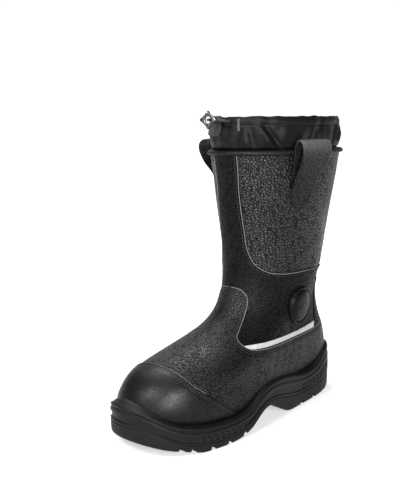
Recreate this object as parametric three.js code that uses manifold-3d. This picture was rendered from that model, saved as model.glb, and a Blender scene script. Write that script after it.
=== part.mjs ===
// A lined pull-on work boot for the left foot: a leather upper with overlays, a fabric
// drawstring cuff, two pull loops, ankle guards, a reflective strip and a two-part moulded sole.
// Millimetres. +Z is up, -Y is the toe, +X is the outer side, and the sole rests on z = 0.
import * as THREE from "three";
import { mergeVertices } from "three/addons/utils/BufferGeometryUtils.js";
import Module from "manifold-3d";

const wasm = await Module();
wasm.setup();

// Driving dimensions.
const clearance = 0.3; // between pieces that meet
const footLength = 284; // upper at its widest row, toe to heel
const heelBack = 139; // y of the back of the heel
const ballWidth = 98; // upper across the ball
const instepHeight = 134; // floor to the bend at the front of the ankle
const shaftHeight = 282; // floor to the top edge of the leather
const topDepth = 168; // leather's top edge, front to back
const topWidth = 118; // leather's top edge, side to side
const wall = 2.4; // base leather
const legOverlay = 1.4; // leg piece over the base
const vampOverlay = 2.6; // vamp and counter over the base
const capOverlay = 3.6; // toe cap over the base
const counterOverlay = 2.2; // heel counter over the base
const soleRim = 46; // height of the sole's rim at the toe
const bedHeight = 31; // foot bed under the heel
const soleMargin = 7; // sole beyond the upper, all round
const coreMargin = 4.6; // where the outsole's raised edge stops, beyond the upper
const coreStep = 0.8; // least height of that edge
const coreDepth = 5; // midsole under the foot bed, where the edge is high
const treadDepth = 5; // depth of the grooves between lugs
const grooveWidth = 6.5; // width of the cross grooves
const spineWidth = 10; // uncut strip along the middle of the tread
const ribDepth = 1.7; // side ribs out of their band
const ribWidth = 3.8;
const ribRoot = 2; // how deep a rib starts inside its band
const insoleThickness = 5;
const cuffHeight = 35.5; // fabric above the leather's top edge
const cuffWall = 1.6;
const foldDepth = 2.2; // gathers of the cuff
const bindingThickness = 1.7; // rolled edge over the leather's top
const bindingDrop = 3.2; // how far the rolled edge reaches down
const cuffTuck = 28; // fabric below the leather's top edge
const loopWidth = 32; // at the top fold
const loopFoot = 27; // at the sewn end
const loopHeight = 71; // sewn end to top fold
const loopThickness = 2;
const loopRoom = 13.5; // finger room between the loop's two layers
const loopLean = THREE.MathUtils.degToRad(-2); // top of the loop towards the heel
const guardRadius = 21.5;
const guardHeight = 4.6;
const stripThickness = 0.7;
const patchWidth = 30;
const patchHeight = 20;
const patchThickness = 1.5;
const lockSize = 19; // tip to tip
const lockDepth = 6;
const lockBore = 2.6; // radius
const lockStand = 15.7; // cuff's face to the lock's middle
const cordDiameter = 2.8;

// Half widths are given at these five angles round a section, from the front to the back.
const stationAngles = [30, 60, 90, 120, 150].map(THREE.MathUtils.degToRad);

// Foot sections, from the sole up. front and back are [reach, rise]: reach is the share of
// footLength from the heel, rise the share of instepHeight. Widths are shares of ballWidth.
const footSections = [
  { name: "bed edge", front: [0.97, 0.2], back: [0.026, 0.24],
    outer: [0.3, 0.435, 0.385, 0.31, 0.215], inner: [0.3, 0.42, 0.375, 0.315, 0.225] },
  { name: "feather", front: [1.0, 0.31], back: [0.0, 0.35],
    outer: [0.362, 0.515, 0.44, 0.36, 0.27], inner: [0.35, 0.495, 0.42, 0.37, 0.285] },
  { name: "toe wall", front: [0.988, 0.4], back: [0.002, 0.46],
    outer: [0.35, 0.508, 0.445, 0.37, 0.275], inner: [0.335, 0.475, 0.415, 0.37, 0.28] },
  { name: "toe crown", front: [0.95, 0.485], back: [0.014, 0.565],
    outer: [0.318, 0.482, 0.445, 0.375, 0.27], inner: [0.3, 0.44, 0.41, 0.365, 0.27] },
  { name: "cap top", front: [0.878, 0.55], back: [0.032, 0.67],
    outer: [0.263, 0.432, 0.435, 0.37, 0.255], inner: [0.245, 0.405, 0.405, 0.36, 0.255] },
  { name: "vamp", front: [0.77, 0.612], back: [0.05, 0.78],
    outer: [0.207, 0.385, 0.42, 0.365, 0.237], inner: [0.202, 0.365, 0.395, 0.355, 0.235] },
  { name: "low instep", front: [0.652, 0.7], back: [0.062, 0.89],
    outer: [0.185, 0.355, 0.42, 0.36, 0.223], inner: [0.185, 0.34, 0.4, 0.35, 0.22] },
  { name: "high instep", front: [0.555, 0.848], back: [0.06, 1.01],
    outer: [0.18, 0.35, 0.43, 0.365, 0.215], inner: [0.18, 0.34, 0.415, 0.355, 0.215] },
];

// Leg sections. front and back are [reach, rise]: reach is the share of topDepth from the leg's
// axis, rise the share of the leg above instepHeight. Widths are shares of topWidth.
const legAxis = heelBack - 0.249 * footLength;
const legSections = [
  { name: "ankle", front: [0.44, 0.04], back: [0.352, 0.14],
    outer: [0.165, 0.315, 0.38, 0.325, 0.19], inner: [0.165, 0.315, 0.375, 0.32, 0.19] },
  { name: "low leg", front: [0.432, 0.315], back: [0.392, 0.37],
    outer: [0.195, 0.345, 0.405, 0.35, 0.205], inner: [0.195, 0.345, 0.405, 0.35, 0.205] },
  { name: "mid leg", front: [0.466, 0.65], back: [0.445, 0.675],
    outer: [0.222, 0.395, 0.455, 0.395, 0.23], inner: [0.222, 0.395, 0.455, 0.395, 0.23] },
  { name: "collar", front: [0.5, 1], back: [0.5, 1],
    outer: [0.255, 0.44, 0.5, 0.44, 0.255], inner: [0.255, 0.44, 0.5, 0.44, 0.255] },
];

// Along the sole. reach is the share of footLength from the heel. rim, split and tread are
// heights in shares of soleRim, bed is a share of bedHeight, spread multiplies soleMargin and
// swing moves the middle of the boot sideways, in shares of ballWidth.
const soleSections = [
  { reach: -0.06, rim: 1.2, bed: 1.0, split: 0.5, tread: 0.2, spread: 1.1, swing: 0 },
  { reach: 0.0, rim: 1.19, bed: 1.0, split: 0.46, tread: 0.05, spread: 1.1, swing: 0 },
  { reach: 0.055, rim: 1.13, bed: 1.0, split: 0.41, tread: 0.0, spread: 1.05, swing: 0 },
  { reach: 0.095, rim: 1.01, bed: 0.99, split: 0.38, tread: 0.0, spread: 1.0, swing: 0.002 },
  { reach: 0.13, rim: 0.88, bed: 0.985, split: 0.355, tread: 0.0, spread: 1.0, swing: 0.004 },
  { reach: 0.17, rim: 0.795, bed: 0.98, split: 0.34, tread: 0.0, spread: 1.0, swing: 0.007 },
  { reach: 0.23, rim: 0.755, bed: 0.96, split: 0.33, tread: 0.0, spread: 1.0, swing: 0.012 },
  { reach: 0.3, rim: 0.81, bed: 0.93, split: 0.335, tread: 0.0, spread: 1.0, swing: 0.018 },
  { reach: 0.36, rim: 0.89, bed: 0.89, split: 0.4, tread: 0.03, spread: 1.0, swing: 0.022 },
  { reach: 0.405, rim: 0.93, bed: 0.86, split: 0.47, tread: 0.16, spread: 1.0, swing: 0.025 },
  { reach: 0.455, rim: 0.94, bed: 0.82, split: 0.53, tread: 0.34, spread: 1.0, swing: 0.026 },
  { reach: 0.51, rim: 0.91, bed: 0.77, split: 0.525, tread: 0.42, spread: 1.0, swing: 0.025 },
  { reach: 0.56, rim: 0.78, bed: 0.71, split: 0.42, tread: 0.3, spread: 1.0, swing: 0.022 },
  { reach: 0.61, rim: 0.6, bed: 0.65, split: 0.27, tread: 0.12, spread: 1.0, swing: 0.017 },
  { reach: 0.66, rim: 0.53, bed: 0.6, split: 0.2, tread: 0.03, spread: 1.0, swing: 0.01 },
  { reach: 0.71, rim: 0.512, bed: 0.57, split: 0.178, tread: 0.0, spread: 1.0, swing: 0.003 },
  { reach: 0.78, rim: 0.525, bed: 0.57, split: 0.175, tread: 0.0, spread: 1.0, swing: -0.008 },
  { reach: 0.84, rim: 0.553, bed: 0.6, split: 0.185, tread: 0.0, spread: 1.02, swing: -0.018 },
  { reach: 0.89, rim: 0.6, bed: 0.64, split: 0.215, tread: 0.07, spread: 1.09, swing: -0.028 },
  { reach: 0.93, rim: 0.665, bed: 0.69, split: 0.31, tread: 0.12, spread: 1.2, swing: -0.036 },
  { reach: 0.965, rim: 0.78, bed: 0.75, split: 0.44, tread: 0.17, spread: 1.42, swing: -0.043 },
  { reach: 1.0, rim: 0.96, bed: 0.82, split: 0.57, tread: 0.24, spread: 1.6, swing: -0.05 },
  { reach: 1.045, rim: 1.12, bed: 0.9, split: 0.64, tread: 0.34, spread: 1.7, swing: -0.058 },
];

// Side of the midsole from the split line up: share of the height, and share of soleMargin.
const midsoleProfile = [
  { up: 0.0, out: 0.96 },
  { up: 0.11, out: 1.02 },
  { up: 0.14, out: 0.76 },
  { up: 0.45, out: 0.76 },
  { up: 0.49, out: 1.05 },
  { up: 0.67, out: 1.0 },
  { up: 0.71, out: 0.74 },
  { up: 0.79, out: 0.76 },
  { up: 0.83, out: 0.93 },
  { up: 1.0, out: 0.78 },
];
const ribStretch = { ball: [0.655, 0.87], heel: 0.25 }; // reaches with ribs
const ribBand = { low: 0.13, high: 0.455, back: 0.76 };
const outsoleProfile = [
  { up: 0.0, out: 0.62 },
  { up: 0.3, out: 0.98 },
  { up: 1.0, out: 1.0 },
];

// Seams in the side view. Points are [reach, rise] as in footSections.
const capSeam = [
  [0.862, 0.72], [0.866, 0.57], [0.852, 0.49], [0.827, 0.441], [0.79, 0.378], [0.748, 0.31], [0.705, 0.237],
  [0.663, 0.174], [0.62, 0.09],
];
const vampTop = [
  [0.57, 1.1], [0.508, 1.043], [0.495, 1.012], [0.491, 0.97], [0.5, 0.9], [0.523, 0.825], [0.545, 0.776],
  [0.57, 0.73], [0.59, 0.699], [0.6, 0.668], [0.592, 0.638], [0.568, 0.616], [0.53, 0.606], [0.46, 0.6],
  [0.33, 0.598], [0.18, 0.605], [-0.06, 0.65],
];
const panelEdge = [
  [0.55, 2.3], [0.533, 2.04], [0.519, 1.81], [0.508, 1.64], [0.497, 1.49], [0.486, 1.35], [0.466, 1.235],
  [0.43, 1.17], [0.385, 1.148], [0.33, 1.145], [0.21, 1.145], [-0.1, 1.1],
];
const counterEdge = [
  [0.14, 0.1], [0.145, 0.4], [0.148, 0.6], [0.147, 0.78], [0.145, 0.92], [0.148, 1.0], [0.142, 1.035],
  [0.115, 1.03], [0.05, 0.98], [-0.1, 0.93],
];
// The reflective strip's lower and upper edges, from front to back.
const stripBottom = [
  [0.6, 0.64], [0.571, 0.622], [0.529, 0.614], [0.46, 0.609], [0.33, 0.608], [0.16, 0.608],
];
const stripTop = [[0.604, 0.647], [0.565, 0.652], [0.5, 0.65], [0.375, 0.648], [0.277, 0.65], [0.153, 0.664]];
const guardPlace = [0.277, 0.855];
const loopEnd = { reach: 0.326, rise: 0.6 }; // sewn end; rise is a share of the leg above the instep

// The pull loop's path from its sewn end: up is the share of loopHeight, gap the share of
// loopRoom that opens behind it, and over is 1 where the strap's other layer lies under it.
const loopPath = [
  { up: 0.0, gap: 0, over: 0 }, { up: 0.06, gap: 0, over: 0 }, { up: 0.2, gap: 0, over: 0.1 },
  { up: 0.36, gap: 0.14, over: 0.8 }, { up: 0.52, gap: 0.45, over: 1 }, { up: 0.68, gap: 0.82, over: 1 },
  { up: 0.84, gap: 1.06, over: 1 }, { up: 0.94, gap: 1.1, over: 1 }, { up: 1.0, gap: 0.92, over: 1 },
  { up: 1.02, gap: 0.6, over: 0.8 }, { up: 0.98, gap: 0.28, over: 0.3 }, { up: 0.9, gap: 0.06, over: 0 },
  { up: 0.74, gap: 0, over: 0 }, { up: 0.6, gap: 0, over: 0 }, { up: 0.46, gap: 0, over: 0 },
];

// The cuff's section, as [share of its height above the leather (below, of its tuck), offset from
// the base leather in shares of cuffBulge]. Folds show most where fold is 1.
const cuffBulge = wall + bindingThickness + 2 * clearance;
const cuffSection = [
  { up: -1, out: -0.69, fold: 0 }, { up: -0.3, out: -1.03, fold: 0 }, { up: 0.05, out: -1.03, fold: 0 },
  { up: 0.12, out: -0.45, fold: 0.4 }, { up: 0.3, out: -0.12, fold: 0.9 }, { up: 0.5, out: -0.1, fold: 1 },
  { up: 0.7, out: -0.28, fold: 0.8 }, { up: 0.88, out: -0.5, fold: 0.5 }, { up: 1, out: -0.8, fold: 0.3 },
];
const cuffFolds = 10; // narrow gathers
const cuffSwells = 5; // broad ones

// Places on the cuff: angle is in degrees round the collar, from the front towards the outer side,
// up is a share of the cuff's height and out a share of lockStand, from the cuff's face.
const patchPlace = { angle: -15, up: 0.76 };
const patchPush = 1.6; // the stiff patch pushes the cuff out
const lockPlace = { angle: -8, up: 0.97, out: 1, facing: 35 };
const cordPath = [
  { angle: 6, up: 0.88, out: 0.054 }, { angle: 6.6, up: 0.89, out: 0.287 },
  { angle: 6.2, up: 0.91, out: 0.535 }, { angle: 4.6, up: 0.935, out: 0.726 },
  { angle: 2.4, up: 0.955, out: 0.815 }, { angle: -0.6, up: 0.97, out: 0.847 },
];

// Grooves across the tread: reach at the middle, and how far the outer ends lie forward.
const grooves = [
  { reach: 0.93, sweep: -5 }, { reach: 0.855, sweep: 6 }, { reach: 0.78, sweep: 6 },
  { reach: 0.705, sweep: 6 }, { reach: 0.625, sweep: 6 }, { reach: 0.275, sweep: -4 },
  { reach: 0.19, sweep: -6 }, { reach: 0.1, sweep: -8 },
];

// Section of the ankle guard: its seat from the middle out, then its face from the rim in. r is
// a share of guardRadius, up a share of guardHeight.
const guardSeat = [0.06, 0.5, 1];
const guardProfile = [
  { r: 1, up: 0.24 }, { r: 0.95, up: 0.36 }, { r: 0.89, up: 0.3 }, { r: 0.85, up: 0.16 },
  { r: 0.8, up: 0.42 }, { r: 0.62, up: 0.74 }, { r: 0.34, up: 0.94 }, { r: 0.06, up: 1 },
];

// Tips and waists of the lock's outline, round from its right: shares of half its size.
const lockOutline = [1, 0.62, 1, 0.62, 0.75, 0.62, 1, 0.62];

// Stations across the patch, with the share of its half height that each has.
const patchColumns = [
  { at: -1, half: 0.75 }, { at: -0.85, half: 1 }, { at: -0.5, half: 1 }, { at: -0.2, half: 1 },
  { at: 0.1, half: 1 }, { at: 0.4, half: 1 }, { at: 0.7, half: 1 }, { at: 0.9, half: 1 },
  { at: 1, half: 0.75 },
];

const ringAngles = circle(28);
const soleAngles = circle(40);
const cuffAngles = circle(4 * cuffFolds);
const rowsBetween = [2, 1, 2, 1, 1, 1, 1, 2, 1, 2, 1]; // rows of facets from each section to the next

const looks = {
  grained: { color: 0x161617, roughness: 0.42 },
  smooth: { color: 0x1a1a1b, roughness: 0.38 },
  rubber: { color: 0x1c1c1d, roughness: 0.7 },
  fabric: { color: 0x111113, roughness: 0.9 },
  reflective: { color: 0xb9bcc0, roughness: 0.4 },
  steel: { color: 0xa9a6a0, roughness: 0.3, metalness: 1 },
  foam: { color: 0x2b2a29, roughness: 0.95 },
};

// A natural cubic spline through the points (xs[i], ys[i]).
function spline(xs, ys) {
  const n = xs.length;
  const bend = new Array(n).fill(0);
  const carry = new Array(n).fill(0);
  for (let i = 1; i < n - 1; i++) {
    const before = xs[i] - xs[i - 1];
    const after = xs[i + 1] - xs[i];
    const pivot = 2 * (before + after) - before * carry[i - 1];
    const slope = (ys[i + 1] - ys[i]) / after - (ys[i] - ys[i - 1]) / before;
    carry[i] = after / pivot;
    bend[i] = (6 * slope - before * bend[i - 1]) / pivot;
  }
  for (let i = n - 2; i > 0; i--) bend[i] -= carry[i] * bend[i + 1];
  return (x) => {
    let k = 0;
    while (k < n - 2 && x > xs[k + 1]) k++;
    const h = xs[k + 1] - xs[k];
    const a = xs[k + 1] - x;
    const b = x - xs[k];
    const curve = (bend[k] * a ** 3 + bend[k + 1] * b ** 3) / (6 * h);
    return curve + (ys[k] / h - (bend[k] * h) / 6) * a + (ys[k + 1] / h - (bend[k + 1] * h) / 6) * b;
  };
}

const smooth = (x, low, high) => THREE.MathUtils.smoothstep(x, low, high);
const reachToY = (reach) => heelBack - reach * footLength;

// The columns of the sole's table as functions of y.
const reaches = soleSections.map((s) => s.reach);
function soleColumn(column, size) {
  const curve = spline(reaches, soleSections.map((s) => s[column]));
  const [first, last] = [reaches[0], reaches[reaches.length - 1]];
  return (y) => size * curve(THREE.MathUtils.clamp((heelBack - y) / footLength, first, last));
}
const rimAt = soleColumn("rim", soleRim);
const splitAt = soleColumn("split", soleRim);
const treadCurve = soleColumn("tread", soleRim);
const treadAt = (y) => Math.max(0, treadCurve(y));
const spreadAt = soleColumn("spread", 1);
const swingAt = soleColumn("swing", ballWidth);
const bedAt = soleColumn("bed", bedHeight);

// Every section as plain millimetres: front y, z, back y, z, five outer and five inner half widths.
function sectionSizes() {
  const leg = shaftHeight - instepHeight;
  const foot = footSections.map((s) => [
    reachToY(s.front[0]), s.front[1] * instepHeight, reachToY(s.back[0]), s.back[1] * instepHeight,
    ...[...s.outer, ...s.inner].map((w) => w * ballWidth),
  ]);
  const upper = legSections.map((s) => [
    legAxis - s.front[0] * topDepth, instepHeight + s.front[1] * leg,
    legAxis + s.back[0] * topDepth, instepHeight + s.back[1] * leg,
    ...[...s.outer, ...s.inner].map((w) => w * topWidth),
  ]);
  return [...foot, ...upper];
}
const sizes = sectionSizes();
const steps = [0];
for (let i = 1; i < sizes.length; i++) {
  const [a, b] = [sizes[i - 1], sizes[i]];
  const [front, back] = [Math.hypot(a[0] - b[0], a[1] - b[1]), Math.hypot(a[2] - b[2], a[3] - b[3])];
  steps.push(steps[i - 1] + (front + back) / 2);
}
const along = steps.map((s) => s / steps[steps.length - 1]);
const columnsOf = sizes[0].map((_, c) => spline(along, sizes.map((row) => row[c])));

// Five half widths as a sum of five sines, so that a section closes round at both ends. The sine
// table is its own inverse, up to the factor 2 / (stations + 1).
const stations = stationAngles.length;
const weights = stationAngles.map((a) =>
  stationAngles.map((_, k) => (2 * Math.sin((k + 1) * a)) / (stations + 1)));
function halfWidth(five, angle) {
  let width = 0;
  for (let k = 0; k < five.length; k++) {
    let share = 0;
    for (let i = 0; i < five.length; i++) share += five[i] * weights[i][k];
    width += share * Math.sin((k + 1) * angle);
  }
  return width;
}

// A point on the base leather's outer face. t runs from the foot bed (0) to the collar (1),
// angle from the front round the outer side (0 to pi) and back along the inner side.
function skin(t, angle) {
  const c = columnsOf.map((f) => f(t));
  const outer = angle <= Math.PI;
  const a = outer ? angle : 2 * Math.PI - angle;
  const s = (1 - Math.cos(a)) / 2;
  const width = halfWidth(outer ? c.slice(4, 9) : c.slice(9, 14), a);
  const y = c[0] + s * (c[2] - c[0]);
  const z = c[1] + s * (c[3] - c[1]);
  const first = sizes[0];
  const flat = first[1] + ((y - first[0]) / (first[2] - first[0])) * (first[3] - first[1]);
  const sag = (bedAt(y) - flat) * (1 - smooth(t, 0, along[3]));
  const swing = swingAt(y) * (1 - smooth(t, along[3], along[8]));
  return new THREE.Vector3((outer ? width : -width) + swing, y, z + sag);
}

// The same point moved out along the surface's normal.
function skinOut(t, angle, out) {
  const e = 0.004;
  const turn = 2 * Math.PI;
  const up = skin(Math.min(1, t + e), angle).sub(skin(Math.max(0, t - e), angle));
  const round = skin(t, (angle + e) % turn).sub(skin(t, (angle - e + turn) % turn));
  const normal = round.cross(up).normalize();
  normal.z *= smooth(t, 0, along[1]);
  return skin(t, angle).addScaledVector(normal.normalize(), out);
}

function circle(n) {
  return Array.from({ length: n }, (_, j) => (2 * Math.PI * j) / n);
}
const rowHeights = [0];
rowsBetween.forEach((n, i) => {
  for (let k = 1; k <= n; k++) rowHeights.push(along[i] + ((along[i + 1] - along[i]) * k) / n);
});

// A closed body from a stack of loops with the same number of points. Each end is closed by
// bars that join the two sides.
function stack(loops) {
  const n = loops[0].length;
  const points = loops.flat().flatMap((p) => [p.x, p.y, p.z]);
  const faces = [];
  for (let i = 0; i < loops.length - 1; i++)
    for (let j = 0; j < n; j++) {
      const [a, b] = [i * n + j, i * n + ((j + 1) % n)];
      faces.push(a, b, b + n, a, b + n, a + n);
    }
  const cap = (start, flip) => {
    for (let j = 0; j < n / 2; j++) {
      const [a, b] = [start + j, start + j + 1];
      const [c, d] = [start + ((n - j) % n), start + ((n - j - 1) % n)];
      if (a !== c) faces.push(...(flip ? [a, c, b] : [a, b, c]));
      if (b !== d) faces.push(...(flip ? [b, c, d] : [b, d, c]));
    }
  };
  cap(0, true);
  cap((loops.length - 1) * n, false);
  return solid(points, faces);
}

// A ring from loops that close on themselves, such as a tube round the collar.
function ring(loops) {
  const n = loops[0].length;
  const m = loops.length;
  const points = loops.flat().flatMap((p) => [p.x, p.y, p.z]);
  const faces = [];
  for (let i = 0; i < m; i++)
    for (let j = 0; j < n; j++) {
      const [a, b] = [i * n + j, i * n + ((j + 1) % n)];
      const [c, d] = [((i + 1) % m) * n + j, ((i + 1) % m) * n + ((j + 1) % n)];
      faces.push(a, b, d, a, d, c);
    }
  return solid(points, faces);
}

// A manifold solid from points and triangles, turned to face outwards.
function solid(points, faces) {
  const vertProperties = new Float32Array(points);
  const build = (triVerts) =>
    new wasm.Manifold(new wasm.Mesh({ numProp: 3, vertProperties, triVerts: new Uint32Array(triVerts) }));
  const made = build(faces);
  if (made.volume() > 0) return made;
  const turned = [];
  for (let i = 0; i < faces.length; i += 3) turned.push(faces[i], faces[i + 2], faces[i + 1]);
  return build(turned);
}

// A manifold solid from a three.js geometry placed by a matrix.
function solidOf(geometry, matrix = new THREE.Matrix4()) {
  const g = (geometry.index ? geometry.toNonIndexed() : geometry.clone()).applyMatrix4(matrix);
  g.deleteAttribute("normal");
  g.deleteAttribute("uv");
  const merged = mergeVertices(g, 1e-4);
  return solid(merged.attributes.position.array, merged.index.array);
}

// A straight cut through the boot in the side view: the region inside an outline of y and z.
function prism(outline) {
  const half = ballWidth + topWidth;
  const shape = new THREE.Shape(outline.map(([y, z]) => new THREE.Vector2(y, z)));
  const across = new THREE.ExtrudeGeometry(shape, { depth: 2 * half, bevelEnabled: false });
  const turn = new THREE.Matrix4().makeBasis(
    new THREE.Vector3(0, 1, 0), new THREE.Vector3(0, 0, 1), new THREE.Vector3(1, 0, 0));
  return solidOf(across, turn.setPosition(-half, 0, 0));
}

// A seam as a smooth line of y and z, moved to its right by grow.
function seamLine(points, grow = 0, n = 22) {
  const line = new THREE.SplineCurve(
    points.map(([reach, rise]) => new THREE.Vector2(reachToY(reach), rise * instepHeight)));
  return line.getPoints(n).map((p, i) => {
    const tangent = line.getTangent(i / n);
    return [p.x + tangent.y * grow, p.y - tangent.x * grow];
  });
}
const far = footLength + shaftHeight; // beyond the boot on every side
const cutPast = 2; // how far a cutter runs on past an edge
const regions = {
  cap: (grow) => prism([...seamLine(capSeam, -grow, 12), [-far, -far], [-far, far]]),
  vamp: (grow) => prism([...seamLine(vampTop, -grow, 26), [far, -far], [-far, -far], [-far, far]]),
  panel: (grow) => prism([...seamLine(panelEdge, grow, 16), [far, far]]),
  counter: (grow) => prism([...seamLine(counterEdge, -grow, 16), [far, -far]]),
};

// The boot's form, grown by out, as one filled solid. past carries it on below the foot bed and
// above the collar.
function form(out, past = 0) {
  const rows = rowHeights.map((t) => ringAngles.map((a) => skinOut(t, a, out)));
  if (past === 0) return stack(rows);
  const shifted = (row, up) => row.map((p) => p.clone().setZ(p.z + up));
  return stack([shifted(rows[0], -past), ...rows, shifted(rows[rows.length - 1], past)]);
}

// A layer of leather that lies on the base, from low to high above it.
function layer(low, high) {
  return form(high).subtract(form(low, cutPast));
}
const overlay = (thickness) => layer(clearance, thickness);

function makeUpper() {
  const outside = rowHeights.map((t) => ringAngles.map((a) => skinOut(t, a, 0)));
  const inside = along.map((t) => ringAngles.map((a) => skinOut(t, a, -wall)));
  return ring([...outside, ...inside.reverse()]);
}

function makeOverlays() {
  const trim = (body, cutters) => cutters.reduce((left, cutter) => left.subtract(cutter), body);
  const counter = regions.counter(clearance);
  return {
    toe_cap: overlay(capOverlay).intersect(regions.cap(0)),
    heel_counter: overlay(counterOverlay).intersect(regions.counter(0)),
    vamp: trim(overlay(vampOverlay).intersect(regions.vamp(0)), [regions.cap(clearance), counter]),
    leg_panel: trim(overlay(legOverlay), [regions.vamp(clearance), counter, regions.panel(0)]),
  };
}

// A point on the sole's outline: the feather line moved out level by margin. Where the sole
// spreads, all its steps lie further out by the same amount.
function solePoint(angle, margin, heightAt) {
  const e = 0.01;
  const turn = 2 * Math.PI;
  const row = along[1];
  const round = skin(row, (angle + e) % turn).sub(skin(row, (angle - e + turn) % turn));
  const outward = new THREE.Vector3(round.y, -round.x, 0).normalize();
  const inner = skin(row, angle);
  const full = soleMargin * spreadAt(inner.y);
  const edge = inner.clone().addScaledVector(outward, full);
  return inner.addScaledVector(outward, full + margin - soleMargin).setZ(heightAt(edge.y));
}
const soleLoop = (margin, heightAt) => soleAngles.map((a) => solePoint(a, margin, heightAt));
const between = (low, high, share) => (y) => low(y) + (high(y) - low(y)) * share;

// Inside the toe bumper the two sole pieces meet lower, under the foot bed.
const coreAt = (y) => Math.min(splitAt(y) - coreStep, bedAt(y) - coreDepth);

function makeMidsole() {
  const core = soleLoop(coreMargin, coreAt);
  const lip = soleLoop(coreMargin, splitAt);
  const side = midsoleProfile.map(({ up, out }) => soleLoop(out * soleMargin, between(splitAt, rimAt, up)));
  const block = stack([core, lip, ...side]).add(makeRibs());
  const cup = form(vampOverlay + clearance, clearance);
  const capRoom = form(capOverlay + clearance, clearance).intersect(regions.cap(clearance));
  const counterRoom = form(counterOverlay + clearance, clearance).intersect(regions.counter(clearance));
  return block.subtract(cup.add(capRoom).add(counterRoom));
}

// Upright ribs in the side band, along the forefoot on both sides and round the heel.
function makeRibs() {
  let all = null;
  const pitch = 2 * ribWidth;
  let travelled = 0;
  let before = solePoint(0, soleMargin, splitAt);
  for (let a = 0; a < 2 * Math.PI; a += 0.01) {
    const p = solePoint(a, soleMargin, splitAt);
    travelled += Math.hypot(p.x - before.x, p.y - before.y);
    before = p;
    const reach = (heelBack - p.y) / footLength;
    const ribbed = (reach > ribStretch.ball[0] && reach < ribStretch.ball[1]) || reach < ribStretch.heel;
    if (!ribbed || travelled < pitch) continue;
    travelled = 0;
    const inner = solePoint(a, soleMargin * ribBand.back - ribRoot, splitAt);
    const outward = p.clone().sub(inner).setZ(0).normalize();
    const h = rimAt(p.y) - splitAt(p.y);
    const depth = ribRoot + ribDepth;
    const box = new THREE.BoxGeometry(depth, ribWidth, h * (ribBand.high - ribBand.low));
    const place = new THREE.Matrix4().makeBasis(
      outward, new THREE.Vector3(-outward.y, outward.x, 0), new THREE.Vector3(0, 0, 1));
    const middle = inner.addScaledVector(outward, depth / 2);
    middle.z = splitAt(p.y) + (h * (ribBand.low + ribBand.high)) / 2;
    const rib = solidOf(box, place.setPosition(middle));
    all = all ? all.add(rib) : rib;
  }
  return all;
}

function makeOutsole() {
  const lower = (heightAt) => (y) => heightAt(y) - clearance;
  const top = lower(splitAt);
  const side = outsoleProfile.map(({ up, out }) => soleLoop(out * soleMargin, between(treadAt, top, up)));
  const lip = soleLoop(coreMargin + clearance, top);
  let body = stack([...side, lip, soleLoop(coreMargin + clearance, lower(coreAt))]);
  const wide = 2 * ballWidth;
  for (const { reach, sweep } of grooves) {
    const y = reachToY(reach);
    const height = treadAt(y) + 2 * treadDepth;
    const box = new THREE.BoxGeometry(wide, grooveWidth, height);
    for (const side of [-1, 1]) {
      const place = new THREE.Matrix4().makeRotationZ(-side * Math.atan2(sweep, ballWidth / 2));
      place.setPosition((side * (wide + spineWidth)) / 2, y, treadAt(y) + treadDepth - height / 2);
      body = body.subtract(solidOf(box, place));
    }
  }
  return body;
}

function makeInsole() {
  const edge = ringAngles.map((a) => skinOut(0, a, -wall - clearance));
  const top = edge.map((p) => p.clone().setZ(p.z + insoleThickness));
  return stack([edge, top]);
}

// A point near the collar: out from the base leather, and up from its top edge.
function collarPoint(angle, out, up) {
  const p = skinOut(Math.min(1, 1 + up / steps[steps.length - 1]), angle, out);
  if (up > 0) p.z += up;
  return p;
}

function makeBinding() {
  const inside = -wall - clearance;
  const outside = legOverlay + clearance;
  const middle = (inside + outside) / 2;
  const radius = (outside - inside) / 2 + bindingThickness;
  const arc = Array.from({ length: 5 }, (_, i) => (Math.PI * i) / 4).map((a) => [
    middle + radius * Math.cos(a), clearance + bindingThickness * 0.85 * Math.sin(a),
  ]);
  const section = [
    [outside, -bindingDrop], [outside + bindingThickness * 0.8, -bindingDrop], ...arc,
    [inside - bindingThickness * 0.8, -bindingDrop], [inside, -bindingDrop],
    [inside, clearance], [outside, clearance],
  ];
  return ring(section.map(([out, up]) => ringAngles.map((a) => collarPoint(a, out, up))));
}

const turnOf = (degrees) => THREE.MathUtils.degToRad((degrees + 360) % 360);

// How far a section of the cuff lies out from the base leather, at an angle round the collar.
function cuffOut({ up, out, fold }, angle) {
  const gathers = Math.cos(cuffFolds * angle + 3 * up) - 0.4 * Math.cos(cuffSwells * angle);
  const turned = (angle - turnOf(patchPlace.angle) + 3 * Math.PI) % (2 * Math.PI) - Math.PI;
  const away = (turned * topWidth) / patchWidth / 3;
  const push = patchPush * Math.exp(-away * away);
  return out * cuffBulge + fold * (0.6 * foldDepth * gathers + push);
}

// The cuff's outer face at a share of its height above the leather.
function cuffFace(angle, up) {
  const next = Math.max(1, cuffSection.findIndex((s) => s.up >= up));
  const [low, high] = [cuffSection[next - 1], cuffSection[next]];
  const share = (up - low.up) / (high.up - low.up);
  return THREE.MathUtils.lerp(cuffOut(low, angle), cuffOut(high, angle), share);
}

// A point off the cuff, from a row such as those of cordPath.
function offCuff({ angle, up, out }) {
  const turn = turnOf(angle);
  return collarPoint(turn, cuffFace(turn, up) + out * lockStand, up * cuffHeight);
}

function makeCuff() {
  const row = (section, inward) => cuffAngles.map((a) =>
    collarPoint(a, cuffOut(section, a) - inward, section.up * (section.up < 0 ? cuffTuck : cuffHeight)));
  const outside = cuffSection.map((s) => row(s, 0));
  const inside = cuffSection.filter((_, i) => i !== 3 && i !== 5).map((s) => row(s, cuffWall));
  return ring([...outside, ...inside.reverse()]);
}

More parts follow.
